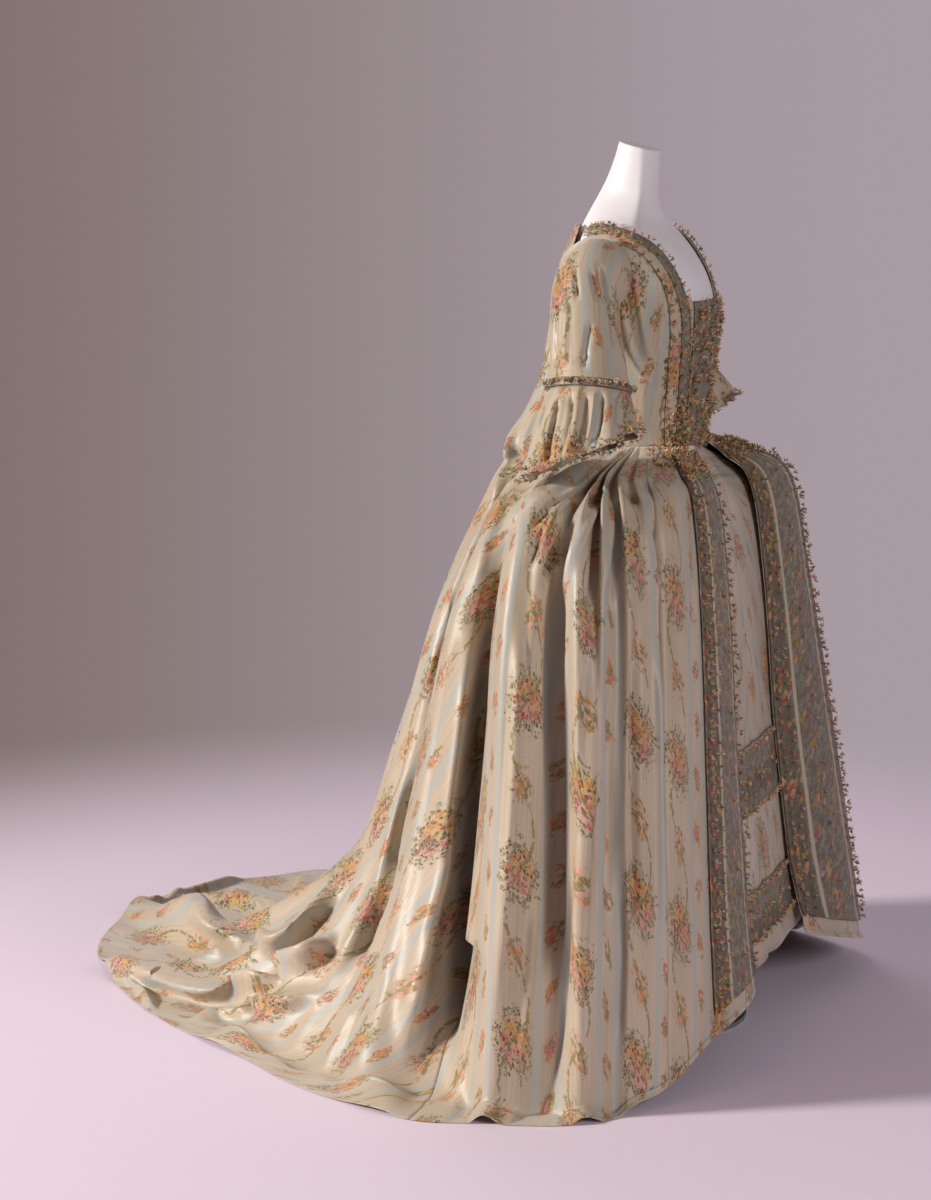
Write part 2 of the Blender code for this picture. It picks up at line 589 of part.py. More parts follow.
def add_bodice(collection, silk, lace, trim):
    tops = BODICE_TOP
    first, last = tops[0][0], tops[-1][0]
    columns = int((last - first) / FORM_STEP * 1.5)

    def front_piece(side):
        def place(u, v):
            bearing = first + (last - first) * u
            top = through([row[0] for row in tops], [row[1] for row in tops], bearing)
            share = 1 - (1 - v) ** BODICE_CROWDING
            z = WAIST + SEAM + (top - WAIST - SEAM) * share
            return form_point(side * bearing, z, BODICE_OUT)

        return place

    knots = range(len(ROBING_LINE))

    def robing_piece(side):
        def place(u, v):
            inner_b, inner_z, outer_b, outer_z = (
                through(knots, [row[k] for row in ROBING_LINE], v * (len(ROBING_LINE) - 1))
                for k in range(4)
            )
            bearing = inner_b + (outer_b - inner_b) * u
            return form_point(side * bearing, inner_z + (outer_z - inner_z) * u, ROBING_OUT)

        return place

    def up_and_out(p):
        return Vector((p.x, p.y, max(p.z - SHOULDER, 0) * 2))

    for side, word in ((1, "right"), (-1, "left")):
        add_cloth(
            collection, f"bodice_{word}", front_piece(side), columns, BODICE_ROWS, silk,
            facing=up_and_out,
        )
        add_cloth(
            collection, f"robing_{word}", robing_piece(side), 3, ROBING_ROWS, lace,
            facing=up_and_out,
        )

    def stomacher(u, v):
        bearing = -STOMACHER_EDGE + 2 * STOMACHER_EDGE * u
        share = 1 - abs(2 * u - 1)
        bottom = WAIST + SEAM + (STOMACHER_POINT - WAIST) * share
        return form_point(bearing, bottom + (STOMACHER_TOP - bottom) * v, BODICE_OUT)

    add_cloth(collection, "stomacher", stomacher, 8, STOMACHER_ROWS, silk, facing=up_and_out)

    def ruching(u, v):
        column, row = round(u * 8), round(v * STOMACHER_ROWS)
        wave = TRIM_WAVE * ((column + row) % 2)
        bearing = -STOMACHER_EDGE + 2 * STOMACHER_EDGE * u
        share = 1 - abs(2 * u - 1)
        bottom = WAIST + SEAM + (STOMACHER_POINT - WAIST) * share
        z = bottom + (STOMACHER_TOP - bottom) * v
        return form_point(bearing, z, BODICE_OUT + LAYER + SILK + wave)

    add_cloth(
        collection, "stomacher_trim", ruching, 8, STOMACHER_ROWS, trim, facing=up_and_out
    )


def sleeve_ring(side, t, angle, extra=0.0):
    """Point of the sleeve: t is the ring number, angle 0 is the outer and upper side."""
    knots = range(len(SLEEVE_RINGS))
    out, y, z, across, deep, tilt = (
        through(knots, [row[k] for row in SLEEVE_RINGS], t) for k in range(6)
    )
    lean = math.radians(tilt)
    reach = (across + extra) * math.cos(angle)
    return Vector((
        -side * (out + reach * math.cos(lean)),
        y + (deep + extra) * math.sin(angle),
        z + reach * math.sin(lean),
    ))


def add_sleeves(collection, silk, lace):
    end = len(SLEEVE_RINGS) - 1
    for side, word in ((1, "right"), (-1, "left")):
        centre_out = SLEEVE_RINGS[3][0]

        def outward(p, side=side, centre_out=centre_out):
            return Vector((p.x + side * centre_out, p.y - 0.03, 0.4 * (p.z - SHOULDER)))

        def sleeve(u, v, side=side):
            return sleeve_ring(side, v * end, u * 2 * math.pi)

        add_cloth(
            collection, f"sleeve_{word}", sleeve, SLEEVE_SEGMENTS, SLEEVE_ROWS, silk,
            True, outward,
        )

        def band(u, v, side=side):
            angle = u * 2 * math.pi
            return sleeve_ring(side, end - BAND_SHARE * (1 - v), angle, LAYER + SILK + BAND_EASE)

        add_cloth(
            collection, f"sleeve_band_{word}", band, SLEEVE_SEGMENTS, 1, lace, True, outward
        )

        def flounce(u, v, side=side):
            angle = u * 2 * math.pi
            back_share = 0.5 + 0.5 * math.sin(angle)
            length = FLOUNCE_FRONT + (FLOUNCE_BACK - FLOUNCE_FRONT) * back_share ** FLOUNCE_CURVE
            inner = 0.5 - 0.5 * math.cos(angle)
            length *= 1 - FLOUNCE_INNER * inner ** 2
            wave = FLOUNCE_WAVE * math.cos(angle * FLOUNCE_WAVES) * v
            extra = FLOUNCE_SPREAD * v ** 0.8 * (1 - 0.55 * inner) + wave
            point = sleeve_ring(side, end, angle, extra)
            point.x += -side * FLOUNCE_SHIFT * v
            point.z -= 2 * SEAM + length * v
            return point

        add_cloth(
            collection, f"flounce_{word}", flounce, FLOUNCE_WAVES * 4, 4, silk, True, outward
        )


def main():
    clear_scene()
    collection = bpy.data.collections.new("robe_a_la_francaise")
    bpy.context.scene.collection.children.link(collection)
    silk = new_material("brocaded_silk", SILK_COLOUR, 0.45)
    lace = new_material("metal_lace", LACE_COLOUR, 0.5, 0.2)
    trim = new_material("fly_fringe", TRIM_COLOUR, 0.7)
    white = new_material("white_form", FORM_COLOUR, 0.55)
    steel = new_material("stand_steel", STEEL_COLOUR, 0.4, 0.8)

    add_form(collection, white)
    add_turned(
        collection, "stand_pole", POLE_RADIUS, BASE_HEIGHT + POLE_GAP, FORM_FOOT - POLE_GAP,
        steel,
    )
    add_turned(collection, "stand_base", BASE_RADIUS, 0.0, BASE_HEIGHT, steel)
    add_petticoat(collection, silk, lace)
    add_gown_skirt(collection, silk, lace)
    add_bodice(collection, silk, lace, trim)
    add_sleeves(collection, silk, lace)


main()
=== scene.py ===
# Dressed model of a robe a la francaise on a dress form. Metres.
# A bearing is an angle in degrees round the figure seen from above: 0 at the centre front,
# 90 at the wearer's right side (-X), 180 at the back, 270 at the left side.
import math
import random
import bmesh
import bpy
import numpy as np
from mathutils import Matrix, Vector


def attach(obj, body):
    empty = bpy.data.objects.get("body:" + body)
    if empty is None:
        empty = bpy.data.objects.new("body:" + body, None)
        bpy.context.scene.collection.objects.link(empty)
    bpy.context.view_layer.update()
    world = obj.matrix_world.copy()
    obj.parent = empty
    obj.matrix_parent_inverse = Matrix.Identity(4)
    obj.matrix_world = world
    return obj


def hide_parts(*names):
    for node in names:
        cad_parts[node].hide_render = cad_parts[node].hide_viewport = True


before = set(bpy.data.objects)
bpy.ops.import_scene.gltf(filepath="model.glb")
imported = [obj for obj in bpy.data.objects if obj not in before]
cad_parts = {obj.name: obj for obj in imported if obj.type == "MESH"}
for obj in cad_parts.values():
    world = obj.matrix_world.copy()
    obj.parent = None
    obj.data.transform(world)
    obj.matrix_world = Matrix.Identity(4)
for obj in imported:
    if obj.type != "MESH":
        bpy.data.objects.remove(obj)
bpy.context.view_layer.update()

fine = 1.0   # share of the full mesh density

camera = {"away": 5.8, "aside": -0.307, "height": 1.6, "facing": 72, "down": 8.46,
          "lens": 101.16, "film": 36, "picture": (931, 1200)}


def placed(name, data):
    # a new object in the scene
    thing = bpy.data.objects.new(name, data)
    bpy.context.scene.collection.objects.link(thing)
    return thing


def cameraStands():
    # the camera's place and the level directions ahead of it and to its right
    facing = math.radians(camera["facing"])
    ahead = np.array((math.sin(facing), math.cos(facing), 0.0))
    aside = np.array((math.cos(facing), -math.sin(facing), 0.0))
    place = aside * camera["aside"] - ahead * camera["away"] + np.array((0, 0, camera["height"]))
    return place, ahead, aside


def placeCamera():
    lens = bpy.data.cameras.new("camera")
    lens.sensor_fit = "VERTICAL"
    lens.sensor_height = camera["film"]
    lens.lens = camera["lens"]
    eye = placed("camera", lens)
    eye.location = cameraStands()[0]
    eye.rotation_euler = (math.radians(90 - camera["down"]), 0, -math.radians(camera["facing"]))
    bpy.context.scene.camera = eye


studio = {
    "lamps": (   # name, place, size, power, colour
        ("key", (-3.7, 6.0, 3.1), 1.2, 620, (1.0, 0.94, 0.86)),
        ("front", (-3.0, -3.9, 2.3), 2.0, 95, (1.0, 0.95, 0.91)),
        ("rim", (2.8, 2.2, 3.2), 2.0, 25, (0.98, 0.96, 1.0)),
    ),
    "airLeft": (0.235, 0.175, 0.155), "airRight": (0.46, 0.385, 0.425),
    "airAcross": (0.309, -0.951, 0.0), "airBlend": (-0.22, 0.14), "airStrength": 0.85,
    "airAhead": (0.951, 0.309, 0.0), "darkBehind": (0.15, 0.80), "behindShare": 0.35,
    "floor": (0.86, 0.75, 0.90), "floorFades": (1.35, 3.0), "floorCorners": 90,
    "lampsAim": (0.0, 0.15, 0.75),
}


def addLamp(name, place, size, power, colour):
    lamp = bpy.data.lights.new(name, "AREA")
    lamp.shape = "DISK"
    lamp.size = size
    lamp.energy = power
    lamp.color = colour
    stand = placed(name, lamp)
    stand.location = place
    aim = Vector(studio["lampsAim"]) - Vector(place)
    stand.rotation_euler = aim.to_track_quat("-Z", "Y").to_euler()


class Wire:
    # one output of a node, so that shader maths reads as plain sums
    def __init__(self, nodes, socket):
        self.nodes, self.socket = nodes, socket


def wireSum(operation):
    def result(self, *others):
        return self.nodes.node("ShaderNodeMath", {"operation": operation}, self, *others)
    return result


for name, operation in (
        ("__add__", "ADD"), ("__radd__", "ADD"), ("__sub__", "SUBTRACT"), ("__mul__", "MULTIPLY"),
        ("__rmul__", "MULTIPLY"), ("__truediv__", "DIVIDE"), ("__mod__", "FLOORED_MODULO"),
        ("__gt__", "GREATER_THAN"), ("__lt__", "LESS_THAN"), ("__abs__", "ABSOLUTE"),
        ("floor", "FLOOR"), ("least", "MINIMUM"), ("sine", "SINE"), ("root", "SQRT")):
    setattr(Wire, name, wireSum(operation))


class Nodes:
    # the nodes of a material or of the world
    def __init__(self, tree):
        self.tree = tree

    def node(self, kind, settings=None, *values, out=0, **named):
        made = self.tree.nodes.new(kind)
        for key, value in (settings or {}).items():
            setattr(made, key, value)
        for place, value in list(enumerate(values)) + list(named.items()):
            self.feed(made.inputs[place], value)
        return Wire(self, made.outputs[out])

    def feed(self, socket, value):
        # a wire is linked, a number or colour is set, and None leaves the socket as it is
        if isinstance(value, Wire):
            self.tree.links.new(value.socket, socket)
        elif value is not None:
            socket.default_value = (*value, 1.0) if socket.type == "RGBA" else value

    def firstTwo(self, kind, value):
        # the first two outputs of a node that takes a value apart
        first = self.node(kind, None, value)
        return first, Wire(self, first.socket.node.outputs[1])

    def uv(self):
        # the cloth map: lengths across and down the cloth
        return self.firstTwo("ShaderNodeSeparateXYZ", self.node("ShaderNodeUVMap", {"uv_map": "cloth"}))

    def point(self, x, y):
        return self.node("ShaderNodeCombineXYZ", None, x, y)

    def noise(self, vector, detail=2.0, rough=0.5, scale=1.0):
        return self.node("ShaderNodeTexNoise", None,
                         Vector=vector, Scale=scale, Detail=detail, Roughness=rough)

    def petals(self, vector, scale):
        # small cells: two chance numbers a cell
        cells = self.node("ShaderNodeTexVoronoi", {"feature": "F1"}, Vector=vector, Scale=scale, out=1)
        return self.firstTwo("ShaderNodeSeparateColor", cells)

    def edges(self, vector, scale, randomness=1.0):
        # the distance to the edges of the cells
        return self.node("ShaderNodeTexVoronoi", {"feature": "DISTANCE_TO_EDGE"},
                         Vector=vector, Scale=scale, Randomness=randomness)

    def mix(self, share, a, b):
        made = self.tree.nodes.new("ShaderNodeMix")
        made.data_type = "RGBA"
        for name, value in (("Factor_Float", share), ("A_Color", a), ("B_Color", b)):
            self.feed(next(s for s in made.inputs if s.identifier == name), value)
        return Wire(self, next(s for s in made.outputs if s.identifier == "Result_Color"))

    def coats(self, ground, *coats):
        # colours laid one over the other: each a share and a colour
        for share, colour in coats:
            ground = self.mix(share, ground, colour)
        return ground

    def repeated(self, value, period):
        # the place within a repeat, and the repeat's number
        number = (value / period).floor()
        return value - number * period, number

    def step(self, value, low, high, least=0.0):
        # least below low, 1 above high, smooth between
        return self.node("ShaderNodeMapRange", {"interpolation_type": "SMOOTHSTEP"},
                         value, low, high, least, 1.0)


class Shader(Nodes):
    # one material
    def __init__(self, name, roughness=0.6, metallic=0.0, sheen=0.0):
        self.material = bpy.data.materials.new(name)
        self.material.use_nodes = True
        super().__init__(self.material.node_tree)
        self.surface = self.tree.nodes["Principled BSDF"]
        self.paint(roughness=roughness, metallic=metallic)
        self.surface.inputs["Sheen Weight"].default_value = sheen

    def paint(self, colour=None, roughness=None, metallic=None, height=None, depth=0.001, strength=1.0):
        for name, value in (("Base Color", colour), ("Roughness", roughness), ("Metallic", metallic)):
            self.feed(self.surface.inputs[name], value)
        if height is not None:
            bump = self.node("ShaderNodeBump", None, Strength=strength, Distance=depth, Height=height)
            self.feed(self.surface.inputs["Normal"], bump)
        return self.material


# The shape of each piece, from the same sizes as the part's own source
silkWall = 0.0015    # the wall of the solids
clothWall = 0.0012   # the wall of the cloth laid here
layerGap = 0.0007
seamGap = 0.0005
skirtAxisY = 0.02
floorClear = 0.0004
waist = 1.018
petticoatOut = 0.0022
bodiceOut = petticoatOut + layerGap + silkWall
robingOut = bodiceOut + 2 * layerGap + silkWall
formSections = (   # height, half width, depth in front, depth behind
    (0.885, 0.140, 0.104, 0.092),
    (0.930, 0.134, 0.102, 0.088),
    (0.975, 0.124, 0.097, 0.083),
    (1.020, 0.118, 0.095, 0.080),
    (1.070, 0.124, 0.099, 0.086),
    (1.120, 0.134, 0.104, 0.093),
    (1.165, 0.144, 0.109, 0.099),
    (1.210, 0.151, 0.114, 0.104),
    (1.255, 0.156, 0.114, 0.108),
    (1.300, 0.157, 0.100, 0.111),
    (1.338, 0.155, 0.076, 0.112),
    (1.364, 0.146, 0.054, 0.110),
    (1.384, 0.122, 0.036, 0.105),
    (1.402, 0.086, 0.025, 0.099),
    (1.435, 0.054, 0.019, 0.082),
    (1.465, 0.048, 0.020, 0.066),
    (1.495, 0.045, 0.022, 0.052),
    (1.518, 0.044, 0.024, 0.044),
)
formRoundness = 2.25
skirtBearings = (35, 57, 70, 80, 90, 100, 108, 117, 135, 157, 180,
                  203, 225, 243, 252, 260, 270, 280, 290, 303, 325)
skirtSections = (   # height, then the radius at each bearing
    (waist, 0.000, 0.000, 0.080, 0.110, 0.122, 0.136, 0.160, 0.214, 0.220, 0.212, 0.206,
     0.212, 0.220, 0.214, 0.160, 0.136, 0.122, 0.110, 0.080, 0.000, 0.000),
    (0.984, 0.176, 0.256, 0.298, 0.322, 0.330, 0.312, 0.256, 0.252, 0.230, 0.218, 0.214,
     0.218, 0.230, 0.252, 0.256, 0.312, 0.330, 0.324, 0.304, 0.276, 0.172),
    (0.930, 0.226, 0.324, 0.415, 0.474, 0.495, 0.450, 0.330, 0.316, 0.272, 0.248, 0.240,
     0.248, 0.272, 0.316, 0.330, 0.450, 0.500, 0.486, 0.440, 0.380, 0.222),
    (0.750, 0.255, 0.369, 0.470, 0.545, 0.565, 0.525, 0.385, 0.408, 0.362, 0.322, 0.314,
     0.324, 0.362, 0.414, 0.390, 0.525, 0.572, 0.556, 0.500, 0.430, 0.250),
    (0.500, 0.278, 0.402, 0.511, 0.579, 0.602, 0.560, 0.430, 0.474, 0.434, 0.400, 0.396,
     0.408, 0.446, 0.492, 0.440, 0.565, 0.612, 0.596, 0.556, 0.488, 0.272),
    (0.250, 0.309, 0.432, 0.545, 0.610, 0.632, 0.600, 0.495, 0.545, 0.518, 0.484, 0.500,
     0.520, 0.550, 0.570, 0.510, 0.600, 0.645, 0.632, 0.602, 0.542, 0.304),
    (0.036, 0.330, 0.458, 0.562, 0.636, 0.662, 0.656, 0.622, 0.652, 0.655, 0.690, 0.770,
     0.810, 0.780, 0.700, 0.650, 0.660, 0.668, 0.654, 0.632, 0.576, 0.332),
    (0.011, 0.333, 0.462, 0.569, 0.654, 0.686, 0.692, 0.690, 0.698, 0.705, 0.795, 0.965,
     1.060, 0.965, 0.790, 0.720, 0.700, 0.692, 0.672, 0.640, 0.584, 0.336),
    (0.0024, 0.336, 0.466, 0.576, 0.676, 0.712, 0.728, 0.750, 0.735, 0.735, 0.885, 1.127,
     1.268, 1.125, 0.885, 0.790, 0.745, 0.712, 0.690, 0.650, 0.592, 0.340),
)
hemLift = (0.108, 0.076, 0.018, 0.0, 0.0, 0.0, 0.0, 0.0, 0.0, 0.0, 0.0,
            0.0, 0.0, 0.0, 0.0, 0.0, 0.0, 0.004, 0.020, 0.040, 0.114)
liftFromLevel = 5
trainSwing = (0, 0, 0, 0, 0, 0, 3, 7, 11)
seamBearing = 108
seamColumns = (6, 14)   # the places of the back's seams in skirtBearings
foldFade = 3   # degrees over which folds die out at those seams
seamDrift = (0, 0, 0, 0, 1, 2, 4, 6, 7)
seamDriftReach = 20
pocketBearing = 84
pocketReach = 24
pocketPull = (0.70, 0.62, 0.22, 0.05, 0, 0, 0, 0, 0)
foldRise = (0.9, 0.9, 0.35, 0.0, 0.0, 0.0, 0.75, 1.0, 1.0)
backSections = (   # above the waist: height, then the radius at each bearing from seam to seam
    (1.388, 0.118, 0.112, 0.104, 0.093, 0.0883, 0.093, 0.104, 0.112, 0.118),
    (1.300, 0.156, 0.150, 0.138, 0.122, 0.115, 0.122, 0.138, 0.150, 0.156),
    (1.210, 0.158, 0.158, 0.149, 0.138, 0.132, 0.138, 0.149, 0.158, 0.158),
    (1.120, 0.152, 0.176, 0.171, 0.158, 0.152, 0.158, 0.171, 0.176, 0.152),
)
backNarrows = (0.76, 0.78, 0.82, 0.92)
hipFolds = (   # bearings at hip, middle and hem, half widths at hip and below, depths by level
    (103.0, 101.5, 100.5, 2.6, 3.2, -0.008, -0.014, -0.012, -0.010, -0.004),
    (97.0, 95.0, 95.0, 4.0, 4.4, 0.006, 0.012, 0.018, 0.020, 0.014),
    (88.5, 87.0, 86.0, 3.2, 5.0, -0.014, -0.026, -0.034, -0.036, -0.020),
    (84.2, 82.0, 80.5, 2.2, 2.8, 0.006, 0.014, 0.016, 0.016, 0.010),
    (81.2, 81.0, 81.0, 1.6, 1.6, -0.012, -0.018, -0.008, 0.000, 0.000),
    (79.3, 79.2, 79.0, 1.4, 1.4, 0.008, 0.010, 0.004, 0.000, 0.000),
    (77.0, 77.2, 76.8, 2.0, 2.4, -0.012, -0.020, -0.020, -0.018, -0.008),
    (74.6, 73.0, 73.0, 2.4, 3.4, 0.006, 0.010, 0.010, 0.008, 0.004),
    (72.3, 70.0, 69.0, 1.9, 1.6, -0.008, -0.008, -0.002, 0.000, 0.000),
)
hipFoldLevels = (0, 1, 2, 3, 4.5, 8)
leftFoldDepth = 0.85
backFolds = (   # bearings at neck, middle and hem, half width, depths by level
    (121, 119, 112, 5.5, 0.002, 0.008, 0.014, 0.032, 0.006),
    (129, 130, 124, 5.0, -0.003, -0.012, -0.030, -0.010, 0.000),
    (140, 142, 138, 6.5, 0.002, 0.008, 0.014, 0.030, 0.006),
    (152, 149, 147, 4.6, -0.003, -0.008, -0.020, -0.004, 0.000),
    (163, 157, 167, 5.0, 0.002, 0.004, 0.012, 0.050, 0.020),
    (175, 170, 177, 5.0, -0.003, -0.006, -0.012, -0.002, 0.000),
    (187, 181, 190, 5.2, 0.002, 0.004, 0.010, 0.052, 0.022),
    (203, 198, 202, 6.5, -0.003, -0.008, -0.020, 0.000, 0.000),
    (218, 214, 216, 7.0, 0.002, 0.006, 0.014, 0.036, 0.010),
    (231, 231, 232, 5.6, -0.003, -0.010, -0.024, -0.004, 0.000),
    (240, 242, 247, 6.0, 0.002, 0.008, 0.010, 0.020, 0.004),
)
backFoldLevels = (-4, 0, 4, 6.4, 8)
petticoatBearings = (0, 32, 57, 75, 90, 105, 125, 150, 180)
petticoatSections = (   # height, then the radius at each bearing
    (0.968, 0.146, 0.152, 0.222, 0.262, 0.270, 0.220, 0.195, 0.185, 0.180),
    (0.912, 0.172, 0.200, 0.298, 0.400, 0.430, 0.290, 0.255, 0.235, 0.228),
    (0.750, 0.196, 0.232, 0.346, 0.460, 0.490, 0.350, 0.320, 0.300, 0.290),
    (0.500, 0.216, 0.254, 0.378, 0.492, 0.520, 0.385, 0.370, 0.360, 0.355),
    (0.300, 0.234, 0.276, 0.402, 0.512, 0.545, 0.430, 0.420, 0.410, 0.410),
    (0.125, 0.252, 0.300, 0.424, 0.528, 0.562, 0.480, 0.470, 0.460, 0.460),
)
sleeveRings = (   # middle: out, back and up; half width, half depth, tilt in degrees
    (0.1636, 0.034, 1.306, 0.0625, 0.056, 99),
    (0.1940, 0.038, 1.303, 0.066, 0.058, 74),
    (0.2200, 0.042, 1.268, 0.060, 0.058, 46),
    (0.2440, 0.034, 1.215, 0.058, 0.060, 27),
    (0.2640, 0.024, 1.165, 0.060, 0.064, 18),
    (0.2820, 0.016, 1.124, 0.062, 0.067, 14),
)
robingLine = (   # inner edge: bearing and height, outer edge: bearing and height
    (37, 1.0200, 57, 1.0200),
    (38, 1.0800, 58, 1.0800),
    (39, 1.1500, 58, 1.1500),
    (41, 1.2200, 58, 1.2150),
    (45, 1.2700, 60, 1.2620),
    (52, 1.3150, 65, 1.3000),
    (64, 1.3520, 75, 1.3380),
    (82, 1.3780, 92, 1.3640),
    (104, 1.3900, 106, 1.3760),
)
bodiceTop = (   # bearing, height of the top edge
    (36.4, 1.262),
    (48, 1.284),
    (56, 1.314),
    (64, 1.326),
    (74, 1.335),
    (84, 1.347),
    (96, 1.360),
    (108, 1.362),
    (120, 1.346),
    (134, 1.330),
)
bodiceCrowding = 1.7
petticoatWaist = 1.006


def through(knots, values, x):
    # smooth curve through values at knots; values may hold one number a point of x
    knots = np.asarray(knots, float)
    values = [np.asarray(v, float) for v in values]
    x = np.asarray(x, float)
    last = len(knots) - 1
    k = np.clip(np.searchsorted(knots, x, side="left") - 1, 0, last - 1)
    stack = np.stack([np.broadcast_to(v, x.shape) for v in values])

    def at(i):
        return np.take_along_axis(stack, i[None, ...], 0)[0]

    span = knots[k + 1] - knots[k]
    t = np.clip((x - knots[k]) / span, 0, 1)
    before, after = np.maximum(k - 1, 0), np.minimum(k + 2, last)
    a, b = at(k), at(k + 1)
    slopeA = (b - at(before)) / (knots[k + 1] - knots[before])
    slopeB = (at(after) - a) / (knots[after] - knots[k])
    return (a * (2 * t ** 3 - 3 * t ** 2 + 1) + b * (3 * t ** 2 - 2 * t ** 3)
            + slopeA * span * (t ** 3 - 2 * t ** 2 + t) + slopeB * span * (t ** 3 - t ** 2))


def bump(distance, halfWidth):
    # 1 at no distance, falling softly to 0 at the half width
    near = np.clip(np.abs(distance) / halfWidth, 0, 1)
    return 0.5 + 0.5 * np.cos(np.pi * near)


def fromBearing(bearing, radius, z, axisY=0.0):
    angle = np.radians(bearing)
    return np.stack([-radius * np.sin(angle), axisY - radius * np.cos(angle), z + 0 * radius], -1)


def column(table, k):
    return [row[k] for row in table]


def formPoint(bearing, z, out=0.0):
    heights = column(formSections, 0)
    width, front, back = (through(heights, column(formSections, k), z) + out for k in (1, 2, 3))
    angle = np.radians(bearing)
    depth = np.where(np.cos(angle) > 0, front, back)
    across = (np.abs(np.sin(angle)) / width) ** formRoundness
    along = (np.abs(np.cos(angle)) / depth) ** formRoundness
    return fromBearing(bearing, (across + along) ** (-1 / formRoundness), z)


def hipFold(bearing, t):
    side = np.where(bearing > 180, 360 - bearing, bearing)
    total = 0.0
    for atHip, atMid, atHem, hipWidth, lowWidth, *depths in hipFolds:
        crest = through((2, 4, 8), (atHip, atMid, atHem), t)
        halfWidth = through((2, 4), (hipWidth, lowWidth), t)
        total = total + through(hipFoldLevels, (0.0, *depths), t) * bump(side - crest, halfWidth)
    return total * np.where(bearing > 180, leftFoldDepth, 1.0)


def backFold(bearing, t):
    total = 0.0
    for neckAt, midAt, hemAt, halfWidth, *depths in backFolds:
        crest = through((-4, 4, 8), (neckAt, midAt, hemAt), t)
        total = total + through(backFoldLevels, depths, t) * bump(bearing - crest, halfWidth)
    return total


def turnedBearing(bearing, t):
    # where a thread line of the skirt stands at a section
    levels = range(len(skirtSections))
    side = np.where(bearing < 180, 1, -1)
    near = np.where(bearing < 180, bearing, 360 - bearing)
    pull = through(levels, pocketPull, t) * bump(near - pocketBearing, pocketReach)
    drift = through(levels, seamDrift, t) * bump(near - seamBearing, seamDriftReach)
    backShare = np.sin(np.radians(np.clip(bearing, 90, 270) - 90)) ** 2
    swing = through(levels, trainSwing, t) * backShare
    low = bearing - side * ((near - pocketBearing) * pull + drift) + swing
    narrows = through(range(-len(backNarrows), 1), backNarrows + (1.0,), t)
    return np.where(t < 0, 180 + (bearing - 180) * narrows, low)


def skirtPoint(bearing, t, isBack):
    # t is the section number, under 0 above the waist
    bearing, t = np.broadcast_arrays(np.asarray(bearing, float), np.asarray(t, float))
    turned = turnedBearing(bearing, t)
    across = bearing if isBack else np.where(t <= liftFromLevel, turned, bearing)
    radii = [through(skirtBearings, row[1:], across) for row in skirtSections]
    heights = column(skirtSections, 0)
    levels = list(range(len(skirtSections)))
    waistRing = formPoint(bearing if isBack else turned, waist, bodiceOut)
    radii[0] = np.maximum(radii[0], np.hypot(waistRing[..., 0], waistRing[..., 1]))
    plainRadius, plainZ = through(levels, radii, t), through(levels, heights, t)
    if isBack:
        above = len(backSections)
        backBearings = skirtBearings[seamColumns[0]:seamColumns[1] + 1]
        upRadii = [through(backBearings, row[1:], bearing) for row in backSections] + radii
        upHeights = column(backSections, 0) + heights
        upLevels = [k - above for k in range(above)] + levels
        plainRadius = np.where(t < 1, through(upLevels, upRadii, t), plainRadius)
        plainZ = np.where(t < 1, through(upLevels, upHeights, t), plainZ)
    lift = through(skirtBearings, hemLift, bearing)
    z = plainZ + lift * np.clip(t - liftFromLevel, 0, 1)
    depth = backFold(bearing, t) if isBack else hipFold(bearing, t)
    seamDistance = np.minimum(*(np.abs(bearing - skirtBearings[k]) for k in seamColumns))
    depth = depth * np.minimum(seamDistance / foldFade, 1)
    rise = through(levels, foldRise, t)
    if isBack:
        rise = rise * (t > backFoldLevels[2])
    out = np.sqrt(np.maximum(1 - rise * rise, 0))
    z = np.maximum(z + depth * rise, silkWall + floorClear)
    sideShare = 0 if isBack else np.minimum(np.abs(bearing - 180) - 72, 18) / 18
    axisY = skirtAxisY * (1 - sideShare * (1 - np.minimum(t, 1)))
    return fromBearing(turned, plainRadius + depth * out, z, axisY)


def petticoatPoint(bearing, t):
    side = np.abs((bearing + 180) % 360 - 180)
    radii = [through(petticoatBearings, row[1:], side) for row in petticoatSections]
    ring = formPoint(bearing, petticoatWaist, petticoatOut)
    levels = range(len(radii) + 1)
    radius = through(levels, [np.hypot(ring[..., 0], ring[..., 1])] + radii, t)
    z = through(levels, [petticoatWaist] + column(petticoatSections, 0), t)
    return fromBearing(bearing, radius, z, skirtAxisY * np.minimum(t, 1))


def petticoatLevel(z):
    # the section number at a height
    heights = [-row[0] for row in petticoatSections]
    return through(heights, range(1, len(heights) + 1), -np.asarray(z, float))


def sleevePoint(side, t, angle, extra=0.0):
    # t is the ring number, angle 0 is the outer and upper side, 90 the back
    out, y, z, across, deep, tilt = (through(range(6), column(sleeveRings, k), t) for k in range(6))
    lean = np.radians(tilt)
    reach = (across + extra) * np.cos(angle)
    return np.stack([-side * (out + reach * np.cos(lean)), y + (deep + extra) * np.sin(angle),
                     z + reach * np.sin(lean)], -1)


def normals(points):
    # unit normals of a grid of points
    du = np.gradient(points, axis=0)
    dv = np.gradient(points, axis=1)
    n = np.cross(du, dv)
    return n / np.maximum(np.linalg.norm(n, axis=-1, keepdims=True), 1e-9)


def facingOut(points, closed=False):
    # normals turned away from the figure's upright middle line, or from a tube's own middle
    n = normals(points)
    outward = points - (points.mean(0) if closed else np.array((0.0, skirtAxisY, 0.0)))
    if not closed:
        outward[..., 2] = 0
    return n if (n * outward).sum() >= 0 else -n


